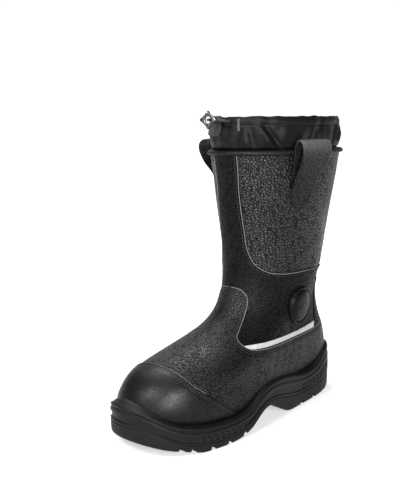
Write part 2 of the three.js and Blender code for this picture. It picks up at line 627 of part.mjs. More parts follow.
// The angle and t of the base leather at a given y and z, on side 1 (outer) or -1 (inner).
function locate(y, z, side) {
  let t = 0.7;
  let angle = Math.PI / 2;
  for (let i = 0; i < 40; i++) {
    const c = columnsOf.map((f) => f(t));
    const s = THREE.MathUtils.clamp((y - c[0]) / (c[2] - c[0]), 0.001, 0.999);
    angle = Math.acos(1 - 2 * s);
    t = THREE.MathUtils.clamp(t + (z - skin(t, angle).z) / steps[steps.length - 1], 0, 1);
  }
  return { t, angle: side > 0 ? angle : 2 * Math.PI - angle };
}

function onSkin(y, z, side, out) {
  const { t, angle } = locate(y, Math.min(z, shaftHeight), side);
  const p = skinOut(t, angle, out);
  if (z > shaftHeight) p.z += z - shaftHeight;
  return p;
}

function makeLoop(side) {
  const across = [-1, -0.6, 0, 0.6, 1];
  const foot = [reachToY(loopEnd.reach), instepHeight + loopEnd.rise * (shaftHeight - instepHeight)];
  const bindingOut = legOverlay + 2 * clearance + bindingThickness;
  const half = loopThickness / 2;
  const centre = loopPath.map(({ up, gap, over }) => {
    const h = up * loopHeight;
    const z = foot[1] + h * Math.cos(loopLean);
    const past = bindingOut * smooth(z, shaftHeight - 8 * bindingDrop, shaftHeight - bindingDrop);
    return [h, clearance + half + gap * loopRoom + over * loopThickness + past];
  });
  const loops = centre.map(([h, out], i) => {
    const a = centre[Math.max(0, i - 1)];
    const b = centre[Math.min(centre.length - 1, i + 1)];
    const turn = Math.atan2(b[1] - a[1], b[0] - a[0]);
    const taper = THREE.MathUtils.lerp(loopFoot, loopWidth, h / loopHeight) / 2;
    const round = Math.min(1, (h + 2) / (loopFoot / 2));
    const width = taper * (i < 4 ? Math.sqrt(1 - (1 - round) ** 2) : 1);
    const face = (offset) => across.map((c) => {
      const up = h - Math.sin(turn) * offset;
      const y = foot[0] + up * Math.sin(loopLean) + c * width;
      const z = foot[1] + up * Math.cos(loopLean);
      return onSkin(y, z, side, out + Math.cos(turn) * offset);
    });
    return [...face(-half), ...face(half).reverse()];
  });
  return stack(loops);
}

// A domed disc with a groove round it, which follows the leg piece.
function makeGuard(side) {
  const y = reachToY(guardPlace[0]);
  const z = guardPlace[1] * instepHeight;
  const low = legOverlay + clearance;
  const rows = [
    ...guardSeat.map((r) => [r, 0]),
    ...guardProfile.map(({ r, up }) => [r, low + up * guardHeight]),
  ];
  const disc = stack(rows.map(([r, out]) => circle(18).map((a) => {
    const reach = r * guardRadius;
    return onSkin(y + reach * Math.cos(a), z + reach * Math.sin(a), side, out);
  })));
  return disc.subtract(form(low));
}

function makeStrip() {
  const low = legOverlay + clearance;
  const bottom = seamLine(stripBottom, 0, 12);
  const top = seamLine(stripTop, 0, 12).reverse();
  const outerHalf = new THREE.BoxGeometry(topWidth, 2 * far, 2 * far);
  const outer = solidOf(outerHalf, new THREE.Matrix4().setPosition(topWidth / 2, 0, 0));
  return layer(low, low + stripThickness).intersect(prism([...bottom, ...top])).intersect(outer)
    .subtract(regions.vamp(clearance)).subtract(regions.counter(clearance));
}

// A small cast lock: a plate with pointed corners and a bore.
function makeLock() {
  const facing = THREE.MathUtils.degToRad(lockPlace.facing);
  const outward = new THREE.Vector3(Math.sin(facing), -Math.cos(facing), 0);
  const sideways = new THREE.Vector3(0, 0, 1).cross(outward);
  const corners = circle(lockOutline.length).map((a, i) => {
    const r = (lockOutline[i] * lockSize) / 2;
    return new THREE.Vector2(r * Math.cos(a), r * Math.sin(a));
  });
  const shape = new THREE.Shape(corners);
  const bore = new THREE.Path().absellipse(0, 0, lockBore, lockBore * 1.35, 0, 2 * Math.PI);
  shape.holes.push(bore);
  const plate = new THREE.ExtrudeGeometry(shape, { depth: lockDepth, bevelEnabled: false, curveSegments: 5 });
  const place = new THREE.Matrix4().makeBasis(sideways, new THREE.Vector3(0, 0, 1), outward);
  return solidOf(plate, place.setPosition(offCuff(lockPlace).addScaledVector(outward, -lockDepth / 2)));
}

function makeCord() {
  const route = new THREE.CatmullRomCurve3(cordPath.map(offCuff));
  const r = cordDiameter / 2;
  const section = new THREE.Shape(circle(8).map((a) => new THREE.Vector2(r * Math.cos(a), r * Math.sin(a))));
  return solidOf(new THREE.ExtrudeGeometry(section, { steps: 8, extrudePath: route, bevelEnabled: false }));
}

// A patch that follows the cuff, with cut-off corners.
function makePatch() {
  const radius = (topDepth + topWidth) / 4;
  const middle = patchPlace.up * cuffHeight;
  const covered = cuffSection.filter((s) => Math.abs(s.up * cuffHeight - middle) < patchHeight * 0.7);
  const loops = patchColumns.map((column) => {
    const a = (turnOf(patchPlace.angle) + (column.at * patchWidth) / 2 / radius) % (2 * Math.PI);
    const inner = Math.max(...covered.map((s) => cuffOut(s, a))) + 2 * clearance;
    const half = (patchHeight / 2) * column.half;
    const at = (out, up) => collarPoint(a, out, middle + up);
    const outer = inner + patchThickness;
    return [at(inner, -half), at(outer, -half), at(outer, half), at(inner, half)];
  });
  return stack(loops);
}

function toMesh(name, body, look) {
  const m = body.getMesh();
  const positions = new Float32Array(m.numVert * 3);
  for (let i = 0; i < m.numVert; i++) {
    const start = i * m.numProp;
    positions.set(m.vertProperties.subarray(start, start + 3), i * 3);
  }
  const geometry = new THREE.BufferGeometry();
  geometry.setAttribute("position", new THREE.BufferAttribute(positions, 3));
  geometry.setIndex(new THREE.BufferAttribute(m.triVerts, 1));
  geometry.computeVertexNormals();
  const mesh = new THREE.Mesh(geometry, new THREE.MeshStandardMaterial(look));
  mesh.name = name;
  return mesh;
}

const boot = new THREE.Group();
const overlays = makeOverlays();
boot.add(
  toMesh("outsole", makeOutsole(), looks.rubber),
  toMesh("midsole", makeMidsole(), looks.rubber),
  toMesh("insole", makeInsole(), looks.foam),
  toMesh("upper", makeUpper(), looks.grained),
  toMesh("leg_panel", overlays.leg_panel, looks.smooth),
  toMesh("vamp", overlays.vamp, looks.grained),
  toMesh("toe_cap", overlays.toe_cap, looks.smooth),
  toMesh("heel_counter", overlays.heel_counter, looks.smooth),
  toMesh("collar_binding", makeBinding(), looks.smooth),
  toMesh("snow_cuff", makeCuff(), looks.fabric),
  toMesh("pull_loop_outer", makeLoop(1), looks.grained),
  toMesh("pull_loop_inner", makeLoop(-1), looks.grained),
  toMesh("ankle_guard_outer", makeGuard(1), looks.smooth),
  toMesh("ankle_guard_inner", makeGuard(-1), looks.smooth),
  toMesh("reflective_strip", makeStrip(), looks.reflective),
  toMesh("cord_patch", makePatch(), looks.fabric),
  toMesh("drawcord", makeCord(), looks.fabric),
  toMesh("cord_lock", makeLock(), looks.steel),
);

// The boot stands over the origin, in the middle of its own length and width.
const extent = new THREE.Box3().setFromObject(boot);
boot.position.set(-(extent.min.x + extent.max.x) / 2, -(extent.min.y + extent.max.y) / 2, 0);

export default boot;
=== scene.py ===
"""Looks of a pull-on work boot for the left foot.

Size fields are in millimetres in the boot's own frame: +Z is up, -Y is the toe and +X is the outer
side. Angles run round the boot from the front over the outer side. Meshes are written in metres.
"""
import logging
import math
from dataclasses import dataclass, field
from enum import Enum
from typing import Callable, Optional, Sequence

import bpy
import numpy as np
from mathutils import Matrix, Vector


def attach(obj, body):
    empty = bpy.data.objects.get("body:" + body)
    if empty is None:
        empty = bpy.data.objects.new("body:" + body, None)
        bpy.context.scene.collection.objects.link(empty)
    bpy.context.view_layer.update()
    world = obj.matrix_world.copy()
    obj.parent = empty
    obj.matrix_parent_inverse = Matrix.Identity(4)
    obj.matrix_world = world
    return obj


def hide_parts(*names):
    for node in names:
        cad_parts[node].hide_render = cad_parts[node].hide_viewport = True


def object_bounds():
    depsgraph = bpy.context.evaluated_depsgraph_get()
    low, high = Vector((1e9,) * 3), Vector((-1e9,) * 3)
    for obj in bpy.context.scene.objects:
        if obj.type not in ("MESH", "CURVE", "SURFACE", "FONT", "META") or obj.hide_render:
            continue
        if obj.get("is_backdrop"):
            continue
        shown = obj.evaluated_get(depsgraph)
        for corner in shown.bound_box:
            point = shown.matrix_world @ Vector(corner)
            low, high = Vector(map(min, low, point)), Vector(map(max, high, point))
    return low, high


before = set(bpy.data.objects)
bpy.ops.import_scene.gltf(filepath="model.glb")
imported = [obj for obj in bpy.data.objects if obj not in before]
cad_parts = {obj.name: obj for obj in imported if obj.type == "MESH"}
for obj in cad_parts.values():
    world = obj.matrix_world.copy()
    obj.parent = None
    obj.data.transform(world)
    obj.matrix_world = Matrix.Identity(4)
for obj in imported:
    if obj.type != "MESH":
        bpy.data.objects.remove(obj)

LOG = logging.getLogger("boot")
MM = 0.001
TURN = 2 * math.pi
OFFSET = np.array([-0.001, 0.462, 0.0])  # the solids stand with their box over the origin
Array = np.ndarray

# Foot sections: front and back as (reach, rise), then five outer and five inner half widths.
FOOT = (
    ((0.97, 0.2), (0.026, 0.24), (0.3, 0.435, 0.385, 0.31, 0.215), (0.3, 0.42, 0.375, 0.315, 0.225)),
    ((1.0, 0.31), (0.0, 0.35), (0.362, 0.515, 0.44, 0.36, 0.27), (0.35, 0.495, 0.42, 0.37, 0.285)),
    ((0.988, 0.4), (0.002, 0.46), (0.35, 0.508, 0.445, 0.37, 0.275), (0.335, 0.475, 0.415, 0.37, 0.28)),
    ((0.95, 0.485), (0.014, 0.565), (0.318, 0.482, 0.445, 0.375, 0.27), (0.3, 0.44, 0.41, 0.365, 0.27)),
    ((0.878, 0.55), (0.032, 0.67), (0.263, 0.432, 0.435, 0.37, 0.255), (0.245, 0.405, 0.405, 0.36, 0.255)),
    ((0.77, 0.612), (0.05, 0.78), (0.207, 0.385, 0.42, 0.365, 0.237), (0.202, 0.365, 0.395, 0.355, 0.235)),
    ((0.652, 0.7), (0.062, 0.89), (0.185, 0.355, 0.42, 0.36, 0.223), (0.185, 0.34, 0.4, 0.35, 0.22)),
    ((0.555, 0.848), (0.06, 1.01), (0.18, 0.35, 0.43, 0.365, 0.215), (0.18, 0.34, 0.415, 0.355, 0.215)),
)
LEG = (
    ((0.44, 0.04), (0.352, 0.14), (0.165, 0.315, 0.38, 0.325, 0.19), (0.165, 0.315, 0.375, 0.32, 0.19)),
    ((0.432, 0.315), (0.392, 0.37), (0.195, 0.345, 0.405, 0.35, 0.205), (0.195, 0.345, 0.405, 0.35, 0.205)),
    ((0.466, 0.65), (0.445, 0.675), (0.222, 0.395, 0.455, 0.395, 0.23), (0.222, 0.395, 0.455, 0.395, 0.23)),
    ((0.5, 1.0), (0.5, 1.0), (0.255, 0.44, 0.5, 0.44, 0.255), (0.255, 0.44, 0.5, 0.44, 0.255)),
)
# Along the sole: reach, then rim, bed, split, tread, spread and swing.
SOLE = np.array((
    (-0.06, 1.2, 1.0, 0.5, 0.2, 1.1, 0), (0.0, 1.19, 1.0, 0.46, 0.05, 1.1, 0),
    (0.055, 1.13, 1.0, 0.41, 0.0, 1.05, 0), (0.095, 1.01, 0.99, 0.38, 0.0, 1.0, 0.002),
    (0.13, 0.88, 0.985, 0.355, 0.0, 1.0, 0.004), (0.17, 0.795, 0.98, 0.34, 0.0, 1.0, 0.007),
    (0.23, 0.755, 0.96, 0.33, 0.0, 1.0, 0.012), (0.3, 0.81, 0.93, 0.335, 0.0, 1.0, 0.018),
    (0.36, 0.89, 0.89, 0.4, 0.03, 1.0, 0.022), (0.405, 0.93, 0.86, 0.47, 0.16, 1.0, 0.025),
    (0.455, 0.94, 0.82, 0.53, 0.34, 1.0, 0.026), (0.51, 0.91, 0.77, 0.525, 0.42, 1.0, 0.025),
    (0.56, 0.78, 0.71, 0.42, 0.3, 1.0, 0.022), (0.61, 0.6, 0.65, 0.27, 0.12, 1.0, 0.017),
    (0.66, 0.53, 0.6, 0.2, 0.03, 1.0, 0.01), (0.71, 0.512, 0.57, 0.178, 0.0, 1.0, 0.003),
    (0.78, 0.525, 0.57, 0.175, 0.0, 1.0, -0.008), (0.84, 0.553, 0.6, 0.185, 0.0, 1.02, -0.018),
    (0.89, 0.6, 0.64, 0.215, 0.07, 1.09, -0.028), (0.93, 0.665, 0.69, 0.31, 0.12, 1.2, -0.036),
    (0.965, 0.78, 0.75, 0.44, 0.17, 1.42, -0.043), (1.0, 0.96, 0.82, 0.57, 0.24, 1.6, -0.05),
    (1.045, 1.12, 0.9, 0.64, 0.34, 1.7, -0.058),
))
CAP_SEAM = (
    (0.862, 0.72), (0.866, 0.57), (0.852, 0.49), (0.827, 0.441), (0.79, 0.378), (0.748, 0.31), (0.705, 0.237),
    (0.663, 0.174), (0.62, 0.09),
)
VAMP_TOP = (
    (0.57, 1.1), (0.508, 1.043), (0.495, 1.012), (0.491, 0.97), (0.5, 0.9), (0.523, 0.825), (0.545, 0.776),
    (0.57, 0.73), (0.59, 0.699), (0.6, 0.668), (0.592, 0.638), (0.568, 0.616), (0.53, 0.606), (0.46, 0.6),
    (0.33, 0.598), (0.18, 0.605), (-0.06, 0.65),
)
PANEL_EDGE = (
    (0.548, 2.3), (0.531, 2.04), (0.519, 1.81), (0.508, 1.64), (0.497, 1.49), (0.486, 1.35), (0.466, 1.235),
    (0.43, 1.17), (0.385, 1.148), (0.33, 1.145), (0.21, 1.145), (-0.1, 1.1),
)
COUNTER_EDGE = (
    (0.14, 0.1), (0.145, 0.4), (0.148, 0.6), (0.147, 0.78), (0.145, 0.92), (0.148, 1.0), (0.142, 1.035),
    (0.115, 1.03), (0.05, 0.98), (-0.1, 0.93),
)
STRIP_BOTTOM = ((0.6, 0.64), (0.571, 0.622), (0.529, 0.614), (0.46, 0.609), (0.33, 0.608), (0.16, 0.608))
STRIP_TOP = ((0.604, 0.647), (0.565, 0.652), (0.5, 0.65), (0.375, 0.648), (0.277, 0.65), (0.153, 0.664))


def smooth(x: Array, low: float, high: float) -> Array:
    """Smooth step of x from 0 at low to 1 at high."""
    s = np.clip((np.asarray(x, float) - low) / (high - low), 0, 1)
    return s * s * (3 - 2 * s)


def bell(x: Array, width: float) -> Array:
    """Bell curve of x that is 1 at 0."""
    return np.exp(-((np.asarray(x, float) / width) ** 2))


def squarish(wave: Array, power: float) -> Array:
    """A cosine or sine with flatter tops, which makes a round section squarer."""
    return np.sign(wave) * np.abs(wave) ** power


def deg(angle: float) -> float:
    """Degrees to radians."""
    return math.radians(angle)


class NaturalSpline:
    """Natural cubic spline through rows of values."""

    def __init__(self, xs: Sequence[float], ys: Array) -> None:
        """Solves for the second derivatives.

        Args:
            xs: Places of the rows, rising.
            ys: One row of values for each place.
        """
        self.xs = np.asarray(xs, float)
        self.ys = np.asarray(ys, float).reshape(len(self.xs), -1)
        n = len(self.xs)
        h = np.diff(self.xs)
        system = np.eye(n)
        right = np.zeros_like(self.ys)
        for i in range(1, n - 1):
            system[i, i - 1:i + 2] = h[i - 1], 2 * (h[i - 1] + h[i]), h[i]
            slopes = (self.ys[i + 1] - self.ys[i]) / h[i] - (self.ys[i] - self.ys[i - 1]) / h[i - 1]
            right[i] = 6 * slopes
        self.bend = np.linalg.solve(system, right)

    def __call__(self, x: Array) -> Array:
        """Values at x.

        Args:
            x: Places, of any shape.

        Returns:
            An array of x's shape, with one more axis if the spline has several columns.
        """
        x = np.asarray(x, float)
        flat = x.ravel()
        k = np.clip(np.searchsorted(self.xs, flat) - 1, 0, len(self.xs) - 2)
        h = (self.xs[k + 1] - self.xs[k])[:, None]
        a = self.xs[k + 1][:, None] - flat[:, None]
        b = flat[:, None] - self.xs[k][:, None]
        low, high = self.bend[k], self.bend[k + 1]
        out = (low * a ** 3 + high * b ** 3) / (6 * h)
        out += (self.ys[k] / h - low * h / 6) * a + (self.ys[k + 1] / h - high * h / 6) * b
        return out.reshape(x.shape + ((-1,) if self.ys.shape[1] > 1 else ()))


def through(points: Sequence[Sequence[float]], n: int) -> Array:
    """A smooth open line through points.

    Args:
        points: The points, with any number of coordinates.
        n: How many steps to give.

    Returns:
        n + 1 points.
    """
    p = np.asarray(points, float)
    at = np.linspace(0, len(p) - 1, n + 1)
    i = np.minimum(at.astype(int), len(p) - 2)
    w = (at - i)[:, None]
    p0, p1, p2, p3 = p[np.maximum(i - 1, 0)], p[i], p[i + 1], p[np.minimum(i + 2, len(p) - 1)]
    v0, v1 = (p2 - p0) / 2, (p3 - p1) / 2
    return (2 * p1 - 2 * p2 + v0 + v1) * w ** 3 + (3 * (p2 - p1) - 2 * v0 - v1) * w ** 2 + v0 * w + p1


def evenly(line: Array, pitch: float) -> tuple[Array, Array]:
    """Points at one pitch along a line in space.

    Args:
        line: Points of the line.
        pitch: Distance between the points that are given.

    Returns:
        The points, and the unit direction at each.
    """
    lengths = np.r_[0, np.cumsum(np.linalg.norm(np.diff(line, axis=0), axis=1))]
    at = np.arange(pitch / 2, lengths[-1], pitch)
    step = pitch * 0.3

    def pick(place: Array) -> Array:
        """Points of the line at lengths along it."""
        return np.stack([np.interp(place, lengths, column) for column in line.T], -1)

    way = pick(at + step) - pick(at - step)
    return pick(at), way / np.maximum(np.linalg.norm(way, axis=1, keepdims=True), 1e-9)


@dataclass(frozen=True)
class Crease:
    """A soft trough or ridge across the leather, drawn in the side view.

    points are (reach, rise), depth is outwards in millimetres (negative for a trough), width is its
    half width, and side is 1 for the outer side, -1 for the inner side and 0 for both.
    """

    points: tuple[tuple[float, float], ...]
    depth: float
    width: float
    side: int = 0


CREASES = (
    Crease(((0.42, 1.04), (0.36, 1.0), (0.28, 0.99)), -0.7, 9),
    Crease(((0.4, 0.9), (0.34, 0.86), (0.27, 0.85)), -0.5, 8),
    Crease(((0.16, 1.13), (0.1, 1.07), (0.05, 1.03)), -1.0, 6),
    Crease(((0.2, 1.2), (0.12, 1.16), (0.06, 1.12)), 0.7, 7),
    Crease(((0.42, 1.9), (0.39, 1.66), (0.36, 1.45)), -0.5, 12, 1),
    Crease(((0.33, 1.55), (0.29, 1.4), (0.25, 1.28)), -0.6, 12, 1),
    Crease(((0.24, 1.75), (0.2, 1.55), (0.17, 1.4)), 0.6, 12),
    Crease(((0.4, 1.6), (0.35, 1.4), (0.28, 1.3)), -0.6, 12, -1),
    Crease(((0.3, 0.55), (0.22, 0.53), (0.15, 0.55)), -0.4, 8),
    Crease(((0.7, 0.45), (0.64, 0.38), (0.58, 0.33)), -0.4, 9),
)


@dataclass
class BootForm:
    """The last's form, from which every piece of leather is offset.

    bed, rim and margin are the sole's heights and its reach beyond the leather, and wave is the height of
    the leather's slow waves.
    """

    foot_length: float = 284
    heel_back: float = 139
    ball_width: float = 98
    instep: float = 134
    shaft: float = 282
    top_depth: float = 168
    top_width: float = 118
    wall: float = 2.4
    bed: float = 31
    rim: float = 46
    margin: float = 7
    wave: float = 0.35

    def __post_init__(self) -> None:
        """Turns the tables of shares into splines."""
        axis = self.heel_back - 0.249 * self.foot_length
        leg = self.shaft - self.instep
        rows = [
            [self.reach_y(f[0]), f[1] * self.instep, self.reach_y(b[0]), b[1] * self.instep]
            + [w * self.ball_width for w in (*outer, *inner)]
            for f, b, outer, inner in FOOT
        ]
        rows += [
            [axis - f[0] * self.top_depth, self.instep + f[1] * leg,
             axis + b[0] * self.top_depth, self.instep + b[1] * leg]
            + [w * self.top_width for w in (*outer, *inner)]
            for f, b, outer, inner in LEG
        ]
        self.sizes = np.array(rows)
        d = np.diff(self.sizes, axis=0)
        steps = np.r_[0, np.cumsum((np.hypot(d[:, 0], d[:, 1]) + np.hypot(d[:, 2], d[:, 3])) / 2)]
        self.length = float(steps[-1])
        self.along = steps / self.length
        self.columns = NaturalSpline(self.along, self.sizes)
        k = np.arange(1, 6)
        stations = np.radians([30, 60, 90, 120, 150])
        self.weights = 2 * np.sin(stations[:, None] * k) / 6
        scale = (self.rim, self.bed, self.rim, self.rim, 1, self.ball_width)
        self.sole_curves = NaturalSpline(SOLE[:, 0], SOLE[:, 1:] * scale)
        self.creases = [(self.to_side(c.points, 24), c) for c in CREASES]

    def reach_y(self, reach: float) -> float:
        """The y of a share of the foot's length from the heel."""
        return self.heel_back - reach * self.foot_length

    def to_side(self, points: Sequence[Sequence[float]], n: int) -> Array:
        """A smooth line of y and z through points given as reach and rise."""
        line = through(points, n)
        return np.stack([self.heel_back - line[:, 0] * self.foot_length, line[:, 1] * self.instep], -1)

    def sole(self, y: Array) -> Array:
        """Rim, bed, split, tread, spread and swing at y, on a new last axis."""
        reach = np.clip((self.heel_back - np.asarray(y, float)) / self.foot_length, SOLE[0, 0], SOLE[-1, 0])
        out = self.sole_curves(reach)
        out[..., 3] = np.maximum(out[..., 3], 0)
        return out

    def skin(self, t: Array, angle: Array) -> Array:
        """Points of the base leather's outer face.

        Args:
            t: 0 at the foot bed to 1 at the collar.
            angle: Radians round the boot.

        Returns:
            Points in millimetres, on a new last axis.
        """
        t, angle = np.broadcast_arrays(np.asarray(t, float), np.asarray(angle, float))
        shape, t, a = t.shape, t.ravel(), np.mod(angle.ravel(), TURN)
        c = self.columns(t)
        outer = a <= math.pi
        b = np.where(outer, a, TURN - a)
        s = (1 - np.cos(b)) / 2
        five = np.where(outer[:, None], c[:, 4:9], c[:, 9:14])
        width = ((five @ self.weights) * np.sin(b[:, None] * np.arange(1, 6))).sum(1)
        y = c[:, 0] + s * (c[:, 2] - c[:, 0])
        z = c[:, 1] + s * (c[:, 3] - c[:, 1])
        first = self.sizes[0]
        flat = first[1] + (y - first[0]) / (first[2] - first[0]) * (first[3] - first[1])
        sole = self.sole(y)
        z = z + (sole[:, 1] - flat) * (1 - smooth(t, 0, self.along[3]))
        x = np.where(outer, width, -width) + sole[:, 5] * (1 - smooth(t, self.along[3], self.along[8]))
        return np.stack([x, y, z], -1).reshape(*shape, 3)

    def normal(self, t: Array, angle: Array) -> Array:
        """Unit normals of the base leather, level at the foot bed."""
        e = 0.004
        t, angle = np.broadcast_arrays(np.asarray(t, float), np.asarray(angle, float))
        up = self.skin(np.minimum(1, t + e), angle) - self.skin(np.maximum(0, t - e), angle)
        way = self.skin(t, angle + e) - self.skin(t, angle - e)
        n = np.cross(way, up)
        n /= np.linalg.norm(n, axis=-1, keepdims=True)
        n[..., 2] *= smooth(t, 0, self.along[1])
        return n / np.linalg.norm(n, axis=-1, keepdims=True)

    def relief(self, p: Array, angle: Array) -> Array:
        """How far the creases move the leather out at points of its face."""
        side = np.where(np.mod(angle, TURN) <= math.pi, 1, -1)
        flat = p.reshape(-1, 3)
        total = np.zeros(len(flat))
        for line, crease in self.creases:
            d = line_distance(flat[:, 1:], line)
            here = bell(d, crease.width) * crease.depth
            if crease.side:
                here = here * (side.ravel() == crease.side)
            total += here
        y, z = flat[:, 1], flat[:, 2]
        wave = self.wave * np.sin(z / 19 + y / 31) * np.sin(y / 23 - z / 37 + side.ravel())
        total += wave * smooth(z, 60, 110)
        return (total * (1 - smooth(z, self.shaft - 30, self.shaft - 6))).reshape(p.shape[:-1])

    def off(self, t: Array, angle: Array, out: Array, soft: bool = True) -> Array:
        """Points moved out from the base leather.

        Args:
            t: 0 at the foot bed to 1 at the collar.
            angle: Radians round the boot.
            out: Distance along the normal.
            soft: Whether the creases count.

        Returns:
            Points in millimetres.
        """
        t, angle = np.broadcast_arrays(np.asarray(t, float), np.asarray(angle, float))
        p = self.skin(t, angle)
        lift = np.asarray(out, float) + (self.relief(p, angle) if soft else 0)
        return p + self.normal(t, angle) * np.broadcast_to(lift, t.shape)[..., None]

    def locate(self, y: Array, z: Array, side: int) -> tuple[Array, Array]:
        """The t and angle of the base leather at y and z on a side."""
        y, z = np.broadcast_arrays(np.asarray(y, float), np.asarray(z, float))
        t = np.full(y.shape, 0.7)
        angle = np.full(y.shape, math.pi / 2)
        for _ in range(30):
            c = self.columns(t)
            s = np.clip((y - c[..., 0]) / (c[..., 2] - c[..., 0]), 0.0002, 0.9998)
            angle = np.arccos(1 - 2 * s)
            t = np.clip(t + (z - self.skin(t, angle)[..., 2]) / self.length, 0, 1)
        return t, angle if side > 0 else TURN - angle

    def on_skin(self, y: Array, z: Array, side: int, out: Array, soft: bool = True) -> Array:
        """Points off the leather at y and z in the side view; above the collar they rise straight."""
        z = np.asarray(z, float)
        t, angle = self.locate(y, np.minimum(z, self.shaft), side)
        p = self.off(t, angle, out, soft)
        p[..., 2] += np.maximum(0, z - self.shaft)
        return p

    def collar(self, angle: Array, out: Array, up: Array) -> Array:
        """Points near the collar: out from the base leather and up from its top edge."""
        up = np.asarray(up, float)
        p = self.off(np.minimum(1, 1 + up / self.length), angle, out, False)
        p[..., 2] += np.maximum(0, up)
        return p

    def even_angles(self, t: float, n: int, low: float = 0, high: float = TURN) -> Array:
        """n angles from low to high that lie evenly along the section at t."""
        a = np.linspace(low, high, 2000)
        p = self.skin(t, a)
        s = np.r_[0, np.cumsum(np.linalg.norm(np.diff(p, axis=0), axis=1))]
        return np.interp(np.linspace(0, s[-1], n), s, a)


def line_distance(points: Array, line: Array) -> Array:
    """Distance from each point to a line of straight stretches, both in the side view."""
    best = np.full(len(points), 1e18)
    for a, b in zip(line[:-1], line[1:]):
        ab = b - a
        w = np.clip(((points - a) @ ab) / (ab @ ab), 0, 1)
        best = np.minimum(best, ((points - a - w[:, None] * ab) ** 2).sum(1))
    return np.sqrt(best)


def along_skin(points: Array, depth: Array) -> Array:
    """Turns a distance in the side view into one along the face.

    Args:
        points: A grid of points of the face.
        depth: The side view's distance at each.

    Returns:
        The distance over its slope along the face.
    """
    down, way = np.gradient(points, axis=0), np.gradient(points, axis=1)
    d0, d1 = np.gradient(depth, axis=0), np.gradient(depth, axis=1)
    e, f, g = (down * down).sum(-1), (down * way).sum(-1), (way * way).sum(-1)
    slope = (d0 * d0 * g - 2 * d0 * d1 * f + d1 * d1 * e) / np.maximum(e * g - f * f, 1e-9)
    return depth / np.sqrt(np.clip(slope, 0.12, 1.0))


def inside(points: Array, outline: Array) -> Array:
    """Whether each point lies inside a closed outline."""
    found = np.zeros(len(points), bool)
    y, z = points[:, 0], points[:, 1]
    for (y0, z0), (y1, z1) in zip(outline, np.roll(outline, -1, axis=0)):
        if z0 == z1:
            continue
        crosses = (z0 > z) != (z1 > z)
        found ^= crosses & (y < (y1 - y0) * (z - z0) / (z1 - z0) + y0)
    return found


FORM = BootForm()


@dataclass(frozen=True)
class Seam:
    """A seam in the side view, with the far corners that close the region that it bounds."""

    points: tuple[tuple[float, float], ...]
    corners: tuple[tuple[float, float], ...]

    def line(self, n: int = 90) -> Array:
        """The seam as points of y and z."""
        return FORM.to_side(self.points, n)

    def depth(self, p: Array) -> Array:
        """Signed distance into the region.

        Args:
            p: Points of a face, in millimetres.

        Returns:
            Distance from the seam, positive inside the region.
        """
        flat = p.reshape(-1, 3)[:, 1:]
        line = self.line()
        outline = np.vstack([line, 900 * np.array(self.corners)])
        sign = np.where(inside(flat, outline), 1.0, -1.0)
        return (sign * line_distance(flat, line)).reshape(p.shape[:-1])

    def beside(self, offset: float, side: int, out: float, n: int = 1500) -> Array:
        """The seam's line in space, moved into its region.

        Args:
            offset: How far into the region.
            side: 1 for the outer side, -1 for the inner side.
            out: Distance off the base leather.
            n: Steps of the line before the ends off the boot are dropped.

        Returns:
            Points in millimetres.
        """
        line = self.line(n)
        way = np.gradient(line, axis=0)
        way /= np.linalg.norm(way, axis=1, keepdims=True)
        probe = line[n // 2] + np.array([way[n // 2, 1], -way[n // 2, 0]])
        turn = 1.0 if self.depth(np.r_[0, probe][None])[0] > 0 else -1.0
        across = turn * np.stack([way[:, 1], -way[:, 0]], -1)
        normal = FORM.normal(*FORM.locate(line[:, 0], np.minimum(line[:, 1], FORM.shaft), side))
        slope = 1 - ((across * normal[:, 1:]).sum(1)) ** 2
        line = line + offset * across * np.sqrt(np.clip(slope, 0.12, 1.0))[:, None]
        p = FORM.on_skin(line[:, 0], line[:, 1], side, 0.0, False)
        kept = np.hypot(p[:, 1] - line[:, 0], p[:, 2] - line[:, 1]) < 0.6
        kept &= (p[:, 2] < FORM.shaft - 1.5) & (p[:, 2] > FORM.sole(p[:, 1])[:, 0] - 6)
        line = line[kept]
        return FORM.on_skin(line[:, 0], line[:, 1], side, out)


CAP = Seam(CAP_SEAM, ((-1, -1), (-1, 1)))
VAMP = Seam(VAMP_TOP, ((1, -1), (-1, -1), (-1, 1)))
PANEL = Seam(PANEL_EDGE, ((1, 1),))
COUNTER = Seam(COUNTER_EDGE, ((1, -1),))


class Shading(Enum):
    """How a mesh is shaded."""

    SMOOTH = "smooth"
    FLAT = "flat"


def make_mesh(name: str, points: Array, faces: Array, material: bpy.types.Material,
              values: Optional[dict[str, Array]] = None,
              shading: Shading = Shading.SMOOTH) -> bpy.types.Object:
    """Makes a mesh object from points in millimetres.

    Args:
        name: The piece's name.
        points: Points, any shape that ends in 3.
        faces: Corner numbers, one row a face.
        material: Its finish.
        values: Named numbers for each point, for the finish to read.
        shading: Smooth or flat.

    Returns:
        The object, linked to the scene.
    """
    flat = (points.reshape(-1, 3) + OFFSET) * MM
    faces = np.asarray(faces)
    used, index = np.unique(faces, return_inverse=True)
    mesh = bpy.data.meshes.new(name)
    mesh.from_pydata(flat[used].tolist(), [], index.reshape(faces.shape).tolist())
    for key, value in (values or {}).items():
        mesh.attributes.new(key, "FLOAT", "POINT").data.foreach_set(
            "value", np.asarray(value, np.float32).ravel()[used])
    mesh.polygons.foreach_set("use_smooth", [shading is Shading.SMOOTH] * len(mesh.polygons))
    mesh.materials.append(material)
    mesh.update()
    obj = bpy.data.objects.new(name, mesh)
    bpy.context.scene.collection.objects.link(obj)
    return obj


